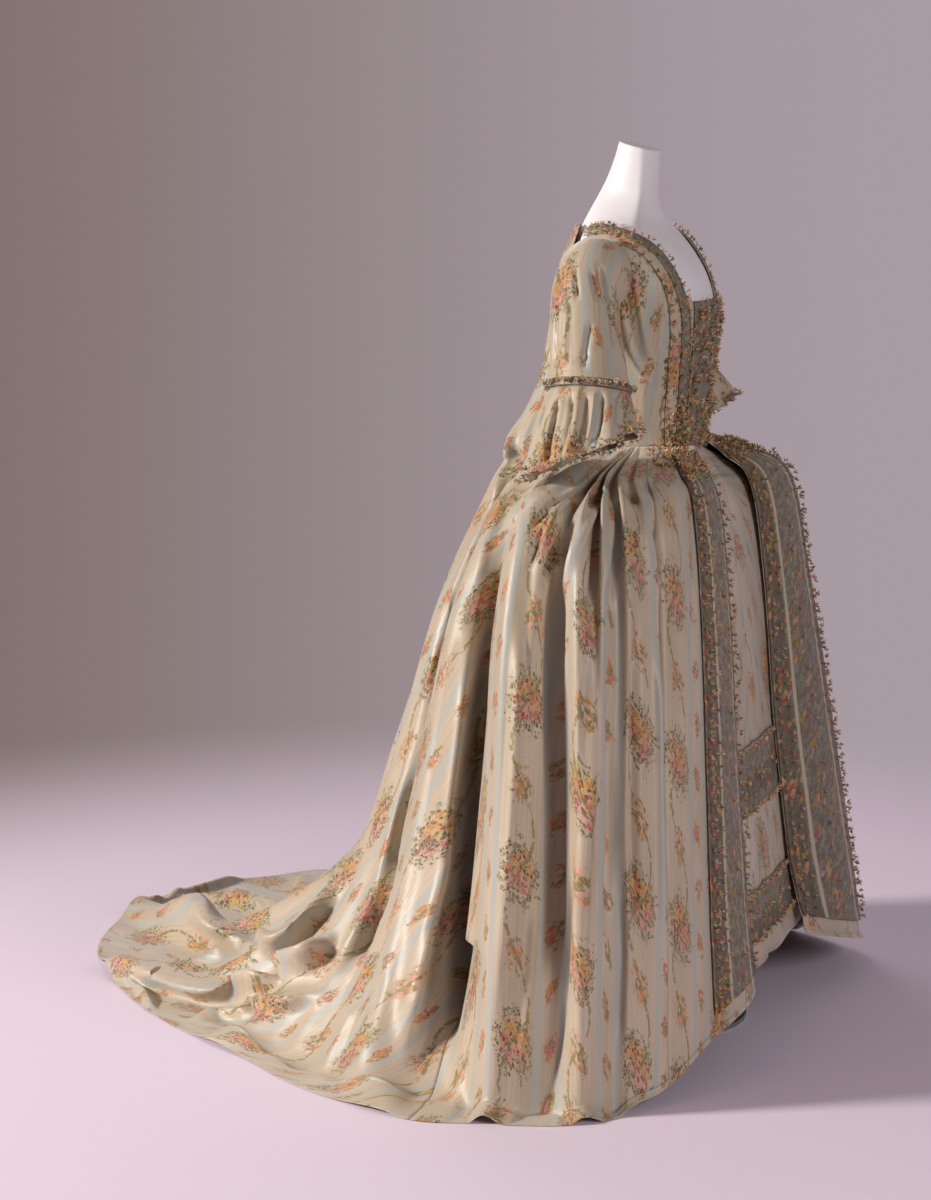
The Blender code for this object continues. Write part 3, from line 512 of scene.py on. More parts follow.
def spread(points, middle):
    # lengths along the cloth, across from the column at middle and down from the first row
    across = np.zeros(points.shape[:2])
    across[1:] = np.cumsum(np.linalg.norm(np.diff(points, axis=0), axis=-1), 0)
    across -= across[round(middle * (len(points) - 1))][None, :]
    down = np.zeros(points.shape[:2])
    down[:, 1:] = np.cumsum(np.linalg.norm(np.diff(points, axis=1), axis=-1), 1)
    return across, down


def layCloth(name, points, across, down, finish, wall=clothWall, closed=False):
    # a sheet of cloth from a grid of points, with its lengths in metres as the cloth map
    columns, rows = points.shape[:2]
    k = np.arange(columns * rows).reshape(columns, rows)
    right = np.roll(k, -1, 0)[: columns if closed else columns - 1]
    here = k[: len(right)]
    faces = np.stack([here[:, :-1], right[:, :-1], right[:, 1:], here[:, 1:]], -1).reshape(-1, 4)
    corners = faces.reshape(-1)
    uvs = np.stack([across.reshape(-1)[corners], down.reshape(-1)[corners]], -1).reshape(-1, 4, 2)
    if closed:      # the last column's faces run on past the seam
        girth = np.linalg.norm(points[0] - points[-1], axis=-1)
        past = across[-1] + girth
        uvs[1 - rows:, 1, 0], uvs[1 - rows:, 2, 0] = past[:-1], past[1:]
    if (normals(points) * facingOut(points, closed)).sum() < 0:
        faces, uvs = faces[:, ::-1], uvs[:, ::-1]
    mesh = bpy.data.meshes.new(name)
    mesh.from_pydata(points.reshape(-1, 3).tolist(), [], faces.tolist())
    layer = mesh.uv_layers.new(name="cloth")
    layer.data.foreach_set("uv", uvs.astype(np.float32).reshape(-1))
    mesh.shade_smooth()
    mesh.materials.append(finish)
    piece = placed(name, mesh)
    if wall:
        thick = piece.modifiers.new("wall", "SOLIDIFY")
        thick.thickness = wall
        thick.offset = -1.0
    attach(piece, "root")
    return piece


# fade: share of a crease over which each end dies out. The others place it as the camera sees it:
# pixels a step, and what a hidden place or a metre's leap adds to a distance in pixels.
creasing = {"fade": 0.2, "step": 14, "hidden": 40.0, "leap": 25}


def creased(points, lines, closed=False, softer=0):
    # presses soft creases into a grid of points; a line is its width to either side, its depth
    # (above 0 for a ridge) and the places it runs through
    n = facingOut(points, closed).reshape(-1, 3)
    base = points.reshape(-1, 3)
    rise = np.zeros(len(base))
    for widths, depth, places in lines:
        reach = max(widths)
        inside = (base > places.min(0) - reach) & (base < places.max(0) + reach)
        near = np.flatnonzero(inside.all(-1))
        if not len(near):
            continue
        lengths = np.linalg.norm(np.diff(places, axis=0), axis=-1) + 1e-9
        starts = np.concatenate([[0], np.cumsum(lengths)]) / lengths.sum()
        nearest, along = np.full(len(near), 9.0), np.zeros(len(near))
        width = np.full(len(near), reach)
        for k in range(len(lengths)):
            step = places[k + 1] - places[k]
            share = np.clip(((base[near] - places[k]) @ step) / (step @ step + 1e-12), 0, 1)
            offset = base[near] - places[k] - share[:, None] * step
            away = np.linalg.norm(offset, axis=-1)
            second = (np.cross(step, offset) * n[near]).sum(-1) > 0
            width = np.where(away < nearest, np.where(second, widths[1], widths[0]), width)
            here = starts[k] + share * (starts[k + 1] - starts[k])
            along = np.where(away < nearest, here, along)
            nearest = np.minimum(nearest, away)
        fade = np.clip(np.minimum(along, 1 - along) / creasing["fade"], 0.0, 1)
        fade = fade * fade * (3 - 2 * fade)
        rise[near] += depth * fade * bump(nearest, width)
    rise = rise.reshape(points.shape[:2])
    for _ in range(softer):
        beside = rise[:-2, 1:-1] + rise[2:, 1:-1] + rise[1:-1, :-2] + rise[1:-1, 2:]
        rise[1:-1, 1:-1] = rise[1:-1, 1:-1] / 2 + beside / 8
    moved = points + n.reshape(points.shape) * rise[..., None]
    moved[..., 2] = np.maximum(moved[..., 2], silkWall + floorClear)
    return moved


def seenAt(points, spots, closed=False):
    # the columns and rows of a grid that the camera sees at places of the picture
    place, ahead, aside = cameraStands()
    tip = math.radians(camera["down"])
    towards = ahead * math.cos(tip) - np.array((0, 0, math.sin(tip)))
    up = ahead * math.sin(tip) + np.array((0, 0, math.cos(tip)))
    offset = points - place
    depth = offset @ towards
    width, height = camera["picture"]
    focal = camera["lens"] / camera["film"] * height
    x = width / 2 + (offset @ aside) / depth * focal
    y = height / 2 - (offset @ up) / depth * focal
    hidden = ((facingOut(points, closed) * offset).sum(-1) > 0) * creasing["hidden"]
    found, last = [], None
    for a, b in zip(spots, spots[1:]):
        steps = max(round(math.hypot(b[0] - a[0], b[1] - a[1]) / creasing["step"]), 1)
        for k in range(steps + (b is spots[-1])):
            spot = [a[m] + (b[m] - a[m]) * k / steps for m in (0, 1)]
            far = np.hypot(x - spot[0], y - spot[1]) + hidden
            if last is not None:    # the next place lies near the one before it
                far = far + np.linalg.norm(points - points[last], axis=-1) * creasing["leap"]
            last = np.unravel_index(far.argmin(), far.shape)
            found.append(last)
    return found


def layFloor():
    # a round floor that fades out into the air
    finish = Shader("studio_floor", roughness=0.75)
    place = finish.node("ShaderNodeNewGeometry")
    away = finish.node("ShaderNodeVectorMath", {"operation": "LENGTH"}, place, out=1)
    finish.paint(studio["floor"])
    clear = finish.node("ShaderNodeBsdfTransparent")
    solid = Wire(finish, finish.surface.outputs[0])
    share = finish.step(away, *studio["floorFades"])
    faded = finish.node("ShaderNodeMixShader", None, share, solid, clear)
    finish.feed(finish.tree.nodes["Material Output"].inputs["Surface"], faded)
    corners, radius = studio["floorCorners"], studio["floorFades"][1]
    turns = [k * math.tau / corners for k in range(corners)]
    rim = [(radius * math.cos(turn), radius * math.sin(turn), 0.0) for turn in turns]
    mesh = bpy.data.meshes.new("studio_floor")
    mesh.from_pydata(rim, [], [list(range(corners))])
    mesh.materials.append(finish.material)
    placed("studio_floor", mesh)


def fillAir():
    # the backdrop goes from brown grey to mauve grey; the room behind the camera is dim
    air = bpy.data.worlds.new("studio_air")
    air.use_nodes = True
    f = Nodes(air.node_tree)
    looks = f.node("ShaderNodeTexCoord")

    def share(direction, span, least):
        along = f.node("ShaderNodeVectorMath", {"operation": "DOT_PRODUCT"}, looks, direction, out=1)
        return f.step(along, *span, least)

    tint = f.mix(share(studio["airAcross"], studio["airBlend"], 0.0), studio["airLeft"], studio["airRight"])
    light = share(studio["airAhead"], studio["darkBehind"], studio["behindShare"])
    back = f.tree.nodes["Background"]
    f.feed(back.inputs["Color"], tint)
    f.feed(back.inputs["Strength"], light * studio["airStrength"])
    bpy.context.scene.world = air


placeCamera()
for lamp in studio["lamps"]:
    addLamp(*lamp)
layFloor()
fillAir()
bpy.context.scene.view_settings.view_transform = "Standard"
print("camera, lamps and floor placed")


# Creases of the right side, by where they lie in the photo (pixels of the 931 x 1200 picture).
# Each is its half width (or its widths to either side) and its depth in millimetres, under 0
# for a trough, and its places.
sideCreases = (
    (14, -22, (606, 484), (589, 507), (569, 530), (552, 560), (541, 592)),
    (10, -18, (603, 487), (599, 520), (594, 575), (590, 622)),
    (9, -16, (616, 484), (621, 510), (618, 545), (612, 590), (611, 625)),
    (9, -15, (612, 480), (633, 497), (652, 520), (662, 548), (664, 585)),
    (12, 14, (598, 500), (580, 535), (571, 570), (566, 610)),
    (8, 11, (611, 500), (609, 540), (603, 590)),
    (8, 11, (626, 500), (634, 530), (634, 580)),
    (9, -10, (551, 508), (540, 520), (529, 530)),
    (13, -18, (530, 500), (508, 521), (497, 560), (491, 622)),
    (9, -10, (575, 498), (553, 513), (538, 538), (526, 575)),
    (9, -10, (585, 488), (566, 500), (545, 506)),
    (9, -12, (640, 478), (662, 496), (677, 530), (680, 580)),
    (16, -15, (640, 600), (636, 700), (633, 820), (640, 940)),
    (22, -27, (566, 540), (556, 600), (553, 700), (556, 800), (556, 900), (552, 1000)),
    (18, 16, (585, 600), (590, 690), (589, 780), (583, 880), (578, 990)),
    (17, 16, (519, 610), (517, 700), (512, 800), (505, 900), (497, 1010)),
    (14, -14, (608, 640), (611, 740), (612, 840), (606, 940)),
    (14, 12, (655, 640), (658, 740), (659, 850), (662, 960)),
    (12, -10, (676, 560), (684, 650), (688, 760), (690, 880)),
    (12, -9, (571, 860), (566, 950), (560, 1040), (548, 1100)),
    (12, -9, (620, 880), (622, 960), (618, 1050)),
    (10, 7, (536, 900), (530, 980), (520, 1060)),
)
sackCreases = (
    (24, -88, (500, 560), (490, 640), (485, 700), (481, 760), (479, 820), (473, 880), (466, 940),
     (458, 1000), (450, 1050)),
    (26, -84, (455, 590), (436, 660), (424, 710), (415, 760), (408, 810), (394, 855), (379, 900),
     (358, 945), (330, 975)),
    ((32, 20), 66, (476, 610), (466, 680), (457, 740), (450, 800), (441, 860), (429, 920),
     (418, 980), (408, 1050), (402, 1080)),
    ((28, 18), 58, (376, 830), (352, 875), (328, 912), (302, 938), (268, 950), (234, 940),
     (200, 922), (160, 902)),
    ((26, 18), 58, (382, 880), (356, 920), (330, 948), (300, 970), (266, 986), (236, 997),
     (190, 988), (139, 973), (100, 958)),
    ((22, 18), 30, (330, 992), (300, 1002), (260, 1008), (220, 1016), (180, 1024)),
    (14, 22, (250, 866), (215, 890), (175, 900), (130, 905)),
    (13, -14, (533, 360), (524, 420), (512, 480), (500, 540)),
    (12, 12, (524, 400), (510, 450), (490, 520), (476, 600)),
    (14, 10, (360, 1000), (340, 1040), (318, 1075)),
    (14, -10, (402, 900), (382, 970), (366, 1040), (356, 1090)),
)
frontCreases = (
    (8, -8, (678, 470), (690, 500), (694, 560), (694, 640)),
    (7, 6, (668, 480), (676, 520), (680, 580)),
    (7, -5, (690, 700), (692, 800), (698, 900), (704, 980)),
)
bodiceCreases = (
    (10, 6, (617, 255), (622, 310), (630, 350), (646, 384)),
    (8, 5, (632, 262), (640, 315), (652, 370)),
    (8, 5, (626, 345), (636, 362), (652, 388)),
)
sleeveCreases = (
    (6, -9, (572, 238), (575, 262), (578, 305)),
    (6, -9, (564, 243), (559, 280), (556, 322)),
    (6, -7, (580, 236), (590, 268), (600, 305)),
    (6, -7, (587, 236), (603, 262), (618, 292)),
    (9, -11, (598, 262), (609, 305), (614, 350)),
    (8, 5, (568, 300), (565, 345), (563, 370)),
    (8, -7, (628, 330), (600, 352), (572, 364)),
    (8, -7, (590, 320), (586, 350), (584, 372)),
    (6, -7, (558, 300), (554, 340), (553, 370)),
)
flounceCreases = (
    (7, -9, (558, 392), (552, 430), (545, 468)),
    (7, -10, (572, 390), (568, 428), (556, 466)),
    (7, -9, (586, 390), (584, 424), (572, 456)),
    (7, -9, (601, 390), (603, 420), (594, 445)),
    (6, -6, (616, 392), (618, 410), (614, 428)),
    (6, 6, (565, 392), (560, 430), (550, 468)),
    (6, 6, (579, 390), (576, 426), (564, 460)),
    (6, 6, (594, 390), (594, 424), (584, 452)),
)


hiddenDepth = 0.8   # the hidden side's creases, as a share of the seen side's


def creasePlaces(points, creases, mirrored=None, turnedRound=False, seed=0, closed=False):
    # where the creases lie in space; those of the hidden side, on the grid that mirrors
    # this one, lie a little apart from these
    chance = random.Random(seed)
    target = points if mirrored is None else mirrored
    columns, rows = points.shape[:2]
    lines = []
    for widths, depth, *spots in creases:
        aside, below = (0, 0) if mirrored is None else (chance.randint(-3, 3), chance.randint(-7, 7))
        places = []
        for i, j in seenAt(points, spots, closed):
            i = columns - 1 - i if turnedRound else i
            i, j = min(max(i + aside, 0), columns - 1), min(max(j + below, 0), rows - 1)
            places.append(target[i, j])
        widths = widths if isinstance(widths, tuple) else (widths, widths)
        widths = [w / 1000 for w in (widths[::-1] if turnedRound else widths)]
        depth = depth / 1000 * (1 if mirrored is None else hiddenDepth)
        lines.append((widths, depth, smoothed(np.array(places))))
    return lines


def smoothed(places):
    # a line of places with its corners rounded
    for _ in range(3):
        if len(places) > 2:
            places[1:-1] = (places[:-2] + 2 * places[1:-1] + places[2:]) / 4
    return places


sides = ((1, "right"), (-1, "left"))
silk = {   # across the cloth: a wide band, a pale line, a narrow band, a pale line
    "period": 0.125, "wide": 0.072, "line": 0.013, "petals": 235.0,
    "repeat": 0.27, "bouquet": (0.030, 0.049), "sprig": (0.020, 0.034), "stemSwing": 0.022,
    "trail": (0.011, 0.022), "trailRepeat": 0.09, "threads": 0.009,
    "cream": (0.60, 0.50, 0.395), "creamDeep": (0.44, 0.35, 0.25), "blue": (0.40, 0.43, 0.41),
    "green": (0.11, 0.115, 0.03), "olive": (0.22, 0.18, 0.05), "orange": (0.56, 0.21, 0.04),
    "yellow": (0.60, 0.34, 0.07), "pink": (0.52, 0.13, 0.11), "red": (0.28, 0.05, 0.04),
    "blush": (0.62, 0.30, 0.22),
}


def oval(across, down, size):
    # the distance from a flower's middle, 1 at its edge
    across, down = across / size[0], down / size[1]
    return (across * across + down * down).root()


def brocade(name, shift=(0.0, 0.0)):
    s = silk
    f = Shader(name, roughness=0.5, sheen=0.25)
    u, v = f.uv()
    u, v = u + shift[0], v + shift[1]
    wobble = f.noise(f.point(u * 75, v * 75), 3.0, 0.7) - 0.5
    inBand, band = f.repeated(u, s["period"])
    drop = (band % 2) * (s["repeat"] / 2)      # every second band's bouquets lie half a repeat on
    inRow = f.repeated(v + drop, s["repeat"])[0] - 0.5 * s["repeat"]

    # the ground, with a pale line to each side of the narrow band
    lines = (s["wide"], s["period"] - s["line"])
    fromLines = [abs(inBand - (at + s["line"] / 2)) for at in lines]
    beside = [f.step(distance, s["line"] * 0.62, s["line"] * 0.35) for distance in fromLines]
    line = beside[0] + beside[1]
    rib = f.noise(f.point(u * 900, v * 14), 3.0)
    shade = f.noise(f.point(u * 9, v * 3), 3.0)
    threads = f.step((u * (math.tau / s["threads"])).sine(), 0.35, 0.95) * f.step(shade, 0.3, 0.55)
    ground = f.coats(s["cream"], (f.step(shade + rib * 0.5, 0.45, 1.05), s["creamDeep"]),
                     (threads * 0.5, s["creamDeep"]), (line * 0.7, s["blue"]))

    # petals and leaves: small cells, each with one colour
    cellPlace = f.point(u, v * 0.62)
    pick, pickB = f.petals(cellPlace, s["petals"])
    solid = f.step(f.edges(cellPlace, s["petals"]), 0.03, 0.12)
    middle = inBand - s["wide"] / 2
    reach = oval(middle, inRow, s["bouquet"]) + wobble * 1.8
    heart = f.step(reach, 0.86, 0.66)
    rim = f.step(reach, 1.25, 0.95)
    upperHalf = f.step(inRow / s["bouquet"][1] + wobble * 0.8, 0.25, -0.15)
    upper = f.mix(pick > 0.5, s["orange"], s["yellow"])
    lower = f.mix(pick > 0.45, s["pink"], s["blush"])
    flower = f.coats(f.mix(upperHalf, lower, upper), (pickB > 0.80, s["red"]), (pickB < 0.12, s["green"]))
    leaf = f.mix(pick > 0.6, s["green"], s["olive"])

    # sprigs half way between the bouquets
    sprig = oval(middle, abs(inRow) - s["repeat"] / 2, s["sprig"]) + wobble * 2.6
    sprig = f.step(sprig, 0.95, 0.65)
    sprigTint = f.coats(s["olive"], (pickB > 0.45, s["blush"]), (pickB > 0.7, s["orange"]))

    # a stem that winds down each wide band, and small flowers in the narrow one
    stemAt = s["wide"] / 2 + (v * (math.tau / s["repeat"])).sine() * s["stemSwing"]
    stem = f.step(abs(inBand - stemAt + wobble * 0.008), 0.0035, 0.0015) * (pick > 0.3)
    trailAcross = inBand - (sum(lines) + s["line"]) / 2 + (v * 51.0).sine() * 0.003
    trailDown = (v + drop * 0.6) % s["trailRepeat"] - s["trailRepeat"] / 2
    trail = f.step(oval(trailAcross, trailDown, s["trail"]) + wobble * 2.6, 1.0, 0.7)
    trailTint = f.coats(s["orange"], (pick > 0.5, s["pink"]), (pickB > 0.62, s["olive"]))

    cloth = f.coats(ground, (rim * solid * (pickB > 0.25), leaf), (heart * (solid * 0.75 + 0.25), flower),
                    (sprig * (solid * 0.6 + 0.4) * (pick > 0.15), sprigTint), (stem * 0.8, s["olive"]),
                    (trail * (solid * 0.6 + 0.4) * (pickB > 0.15), trailTint))
    raised = (heart + rim * 0.4 + sprig * 0.4 + trail * 0.4).least(1) * solid
    crumple = f.noise(f.point(u * 16, v * 9), 3.0)
    relief = rib * 0.5 + raised * 1.2 + crumple * 5.0
    return f.paint(cloth, roughness=0.42 + 0.2 * raised, height=relief, depth=0.0011, strength=0.55)


brocadeSilk = brocade("brocaded_silk")
print("silk woven")


def declare(node):
    # hides the solid that a cloth stands for
    if node:
        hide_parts(node)


gown = {"backColumns": 240, "upperRows": 84, "trainRows": 103, "sideColumns": 180, "sideRows": 135,
        "frontColumns": 46, "trainFrom": 5, "trainFan": 0.45, "trainEven": 0.5,
        "backSeam": 108, "frontSeam": 68, "openEdge": 35}


def rowsOf(first, last, count):
    return np.linspace(first, last, max(int(count * fine), 12) + 1)


def panelGrid(side, first, last, columns):
    bearings = rowsOf(first, last, columns)[:, None]
    rows = rowsOf(0, len(skirtSections) - 1, gown["sideRows"])[None, :]
    return skirtPoint(bearings if side > 0 else 360 - bearings, rows, False)


# The skirt's grids come first, so that each crease can run on over a seam. The sack's rows lie
# closer in the train.
sackRows = np.concatenate([rowsOf(-4, gown["trainFrom"], gown["upperRows"])[:-1],
                           rowsOf(gown["trainFrom"], 8, gown["trainRows"])])
sackColumns = rowsOf(gown["backSeam"], 360 - gown["backSeam"], gown["backColumns"])
grids = {"sack": skirtPoint(sackColumns[:, None], sackRows[None, :], True)}
for side, word in sides:
    grids["side", side] = panelGrid(side, gown["backSeam"], gown["frontSeam"], gown["sideColumns"])
    grids["front", side] = panelGrid(side, gown["frontSeam"], gown["openEdge"], gown["frontColumns"])
creaseLines = creasePlaces(grids["sack"], sackCreases)
creaseLines += creasePlaces(grids["sack"], sackCreases, grids["sack"], True, 2)
for place, creases in (("side", sideCreases), ("front", frontCreases)):
    creaseLines += creasePlaces(grids[place, 1], creases)
    creaseLines += creasePlaces(grids[place, 1], creases, grids[place, -1], False, 3)
panels = {}


def skirtPanel(name, place, cut, middle, node):
    points = grids[place]
    across, down = spread(points, middle)
    if cut == "sack":      # gores let the train fan out, so its stripes fan a little too
        train = gown["trainFrom"]
        bodyAcross = across[:, np.argmin(np.abs(sackRows - train))][:, None]
        fanned = bodyAcross + gown["trainFan"] * (across - bodyAcross)
        across = np.where(sackRows[None, :] > train, fanned, across)
        meanDown = down.mean(0)[None, :]
        down = meanDown + gown["trainEven"] * (down - meanDown)
    panels[place] = creased(points, creaseLines, softer=2)
    piece = layCloth(name, panels[place], across, down, brocadeSilk)
    declare(node)


skirtPanel("sack_back", "sack", "sack", 0.5, "gown_back")
for side, word in sides:
    skirtPanel(f"side_panel_{word}", ("side", side), "side", 0.8, f"gown_side_{word}")
    skirtPanel(f"front_panel_{word}", ("front", side), "front", 0.0, f"gown_front_{word}")
print("gown's skirt laid")


lace = {
    "dark": (0.085, 0.066, 0.046), "mid": (0.21, 0.175, 0.13), "pale": (0.43, 0.40, 0.33),
    "braid": (0.60, 0.51, 0.38), "net": 260.0, "knots": 150.0,
    "flecks": ((0.42, 0.07, 0.05), (0.50, 0.26, 0.05), (0.14, 0.20, 0.05), (0.62, 0.34, 0.24)),
}


def metalLace(name, braids=(), darkBorders=()):
    # braids and darkBorders are places across the band: middle and half width, in metres
    f = Shader(name, roughness=0.45, metallic=0.35, sheen=0.1)
    u, v = f.uv()
    curl = f.noise(f.point(u * 70, v * 70), 4.0, 0.65)
    holes = f.step(f.edges(f.point(u, v), lace["net"], 0.8), 0.02, 0.10)
    ground = f.mix(f.step(curl, 0.38, 0.66), lace["mid"], lace["pale"])
    ground = f.mix(holes * 0.55, ground, lace["dark"])
    streak = f.noise(f.point(u * 240, v * 30), 3.0)
    for middle, half in darkBorders:
        inside = f.step(abs(u - middle), half * 1.15, half * 0.75)
        ground = f.mix(inside * 0.85, ground, f.mix(streak, lace["dark"], lace["mid"]))
    pick, pickB = f.petals(f.point(u, v * 0.7), lace["knots"])
    fleck = (pick > 0.62) * f.step(f.noise(f.point(u * 24, v * 16)), 0.42, 0.56)
    first, *others = lace["flecks"]
    tint = f.coats(first, *((pickB > least, colour) for least, colour in zip((0.28, 0.55, 0.8), others)))
    ground = f.mix(fleck * 0.75, ground, tint)
    raised = curl * 0.8 + fleck * 0.6
    for middle, half in braids:
        cord = f.step(abs(u - middle), half, half * 0.55)
        ground = f.mix(cord, ground, f.mix(streak * 0.6, lace["braid"], lace["pale"]))
        raised = raised + cord * 1.5
    return f.paint(ground, roughness=0.38 + 0.3 * curl, metallic=0.45 * curl, height=raised,
                   depth=0.0016, strength=0.8)


frontLace = metalLace("front_lace", ((0.046, 0.0045), (0.128, 0.0045)), ((0.018, 0.024), (0.155, 0.020)))
ruffleLace = metalLace("ruffle_lace", ((0.006, 0.004),), ((0.07, 0.02),))
plainLace = metalLace("plain_lace")
print("lace made")


def layTrim(name, points, finish, node, lengths=None, closed=False):
    # a cloth whose solid is hidden; lengths are its map across and down where it isn't the points' own
    across, down = lengths or spread(points, 0.0)
    piece = layCloth(name, points, across, down, finish, closed=closed)
    declare(node)
    return points


def grid(columns, rows):
    u = np.linspace(0, 1, max(int(columns * fine), 6) + 1)[:, None]
    v = np.linspace(0, 1, max(int(rows * fine), 4) + 1)[None, :]
    return np.broadcast_arrays(u, v)


def tube(columns, rows):
    # a grid without the column that closes it, and the angle round it
    u, v = (shares[:-1] for shares in grid(columns, rows))
    return u, v, u * math.tau


onTop = layerGap + silkWall   # how far a cloth lies out from the one below it
band = {"from": 57, "to": 35, "topLevel": 0.5, "endLevel": 6.0, "flare": 0.0022, "ruck": 0.0016,
        "ease": 0.0006, "width": 0.17}
bands, furbelows = {}, {}
for side, word in sides:
    u, v = grid(28, 200)
    bearing = band["from"] + (band["to"] - band["from"]) * u
    bearing = bearing if side > 0 else 360 - bearing
    skin = skirtPoint(bearing, band["topLevel"] + (band["endLevel"] - band["topLevel"]) * v, False)
    rucks = np.sin(v * 190 + np.sin(u * 9) * 2.2) * np.sin(u * 60 + v * 31) * band["ruck"]
    out = onTop + (band["flare"] - layerGap) * v + np.abs(rucks) + band["ease"]
    points = skin + facingOut(skin) * out[..., None]
    lengths = (u * band["width"], spread(points, 0.0)[1])
    bands[side] = layTrim(f"front_band_{word}", points, frontLace, f"band_{word}", lengths=lengths)

furbelow = {"upper": (0.500, 0.385), "lower": (0.255, 0.170), "reach": 41, "waves": 15, "wave": 0.0042}
u, v = grid(150, 70)
skin = petticoatPoint(u * 360, v * 6)[:-1]
across, down = spread(skin, 0.5)
petticoatSilk = brocade("underskirt_silk", (0.03, 0.1))
petticoat = layCloth("underskirt", skin, across, down, petticoatSilk, closed=True)
declare("petticoat")
for word in ("upper", "lower"):
    u, v = grid(150, 22)
    top, bottom = furbelow[word]
    bearing = (u * 2 - 1) * furbelow["reach"]
    skin = petticoatPoint(bearing % 360, petticoatLevel(top + (bottom - top) * v))
    wave = 0.5 + 0.5 * np.sin(u * math.tau * furbelow["waves"] + np.sin(v * 3 + u * 11) * 0.9)
    gather = furbelow["wave"] * (0.25 + 0.75 * v) * wave
    points = skin + facingOut(skin) * (onTop + gather)[..., None]
    name = f"furbelow_{word}"
    furbelows[word] = layTrim(name, points, ruffleLace, name, lengths=spread(points, 0.0)[::-1])
print("skirt trimmed")


# The robing runs on over the shoulder to the sack's top, and the bodice front runs up under it
bodice = {"edge": 36, "top": 1.262, "point": 1.010, "tuck": 0.004, "shoulder": 0.022,
          "shoulderFrom": 50, "shoulderOver": 20,
          "folds": ((0.20, 0.03, 0.0022), (0.29, 0.025, 0.0018), (0.40, 0.035, 0.0016)),
          "robingBow": 0.0004, "ruck": 0.0022, "rucks": 210, "ruche": 0.0030}
robingWay = robingLine + ((123, 1.3915, 123, 1.3710),)


def bodicePoint(side, u, v, out):
    first, last = bodiceTop[0][0], bodiceTop[-1][0]
    bearing = first + (last - first) * u
    top = through(column(bodiceTop, 0), column(bodiceTop, 1), bearing)
    overSleeve = np.clip((bearing - bodice["shoulderFrom"]) / bodice["shoulderOver"], 0, 1)
    top = top + bodice["shoulder"] * overSleeve
    low = waist - bodice["tuck"]
    z = low + (top - low) * (1 - (1 - v) ** bodiceCrowding)
    return formPoint(side * bearing, z, out)


def robingPoint(side, u, v, out):
    knots = range(len(robingWay))
    at = v * (len(robingWay) - 1)
    innerB, innerZ, outerB, outerZ = (through(knots, column(robingWay, k), at) for k in range(4))
    bearing = innerB + (outerB - innerB) * u
    return formPoint(side * bearing, innerZ + (outerZ - innerZ) * u, out)


def stomacherPoint(u, v, out):
    bearing = (2 * u - 1) * bodice["edge"]
    share = 1 - np.abs(2 * u - 1)
    bottom = waist + seamGap + (bodice["point"] - waist) * share
    return formPoint(bearing, bottom + (bodice["top"] - bottom) * v, out)


def evenSpread(points):
    # a tube's map: the mean girth across, so the pattern doesn't slant
    across, down = spread(points, 0.0)
    return across.mean(1)[:, None] + 0 * across, down


def creasedAlike(kind, side, points, creases, closed=False):
    # the right side's creases as the photo has them, and similar ones on the left
    plain[kind, side] = points
    mirrored = points if side < 0 else None
    return creased(points, creasePlaces(plain[kind, 1], creases, mirrored, closed=closed), closed)


robings, cuffs, flounces, plain = {}, {}, {}, {}
for side, word in sides:
    u, v = grid(80, 66)
    folds = sum(rise * bump(u - at, halfWidth) for at, halfWidth, rise in bodice["folds"])
    points = bodicePoint(side, u, v, bodiceOut + folds * np.sin(np.pi * np.clip(v * 1.1, 0, 1)))
    lengths = spread(points, 0.0)
    points = creasedAlike("bodice", side, points, bodiceCreases)
    layTrim(f"bodice_front_{word}", points, brocadeSilk, f"bodice_{word}", lengths)
    u, v = grid(14, 150)
    points = robingPoint(side, u, v, robingOut + bodice["robingBow"] * np.sin(u * np.pi))
    robings[side] = layTrim(f"robing_silk_{word}", points, brocadeSilk, f"robing_{word}")
    u, v = grid(8, 240)
    gathers = 0.5 + 0.5 * np.sin(v * bodice["rucks"] + u * 5)
    ruck = bodice["ruck"] * gathers * np.sin(np.pi * np.clip(u, 0.08, 0.92))
    points = robingPoint(side, u * 0.5, v, robingOut + onTop + ruck)
    layTrim(f"robing_lace_{word}", points, plainLace, None)

u, v = grid(60, 80)
points = stomacherPoint(u, v, bodiceOut)
layTrim("stomacher_panel", points, brocadeSilk, "stomacher", spread(points, 0.5))
gathers = (0.5 + 0.5 * np.sin(u * 38 + np.sin(v * 40) * 1.3)) * (0.5 + 0.5 * np.sin(v * 62))
points = stomacherPoint(u, v, bodiceOut + onTop + bodice["ruche"] * gathers)
ruching = layTrim("stomacher_ruching", points, plainLace, "stomacher_trim",
                  spread(points, 0.5))

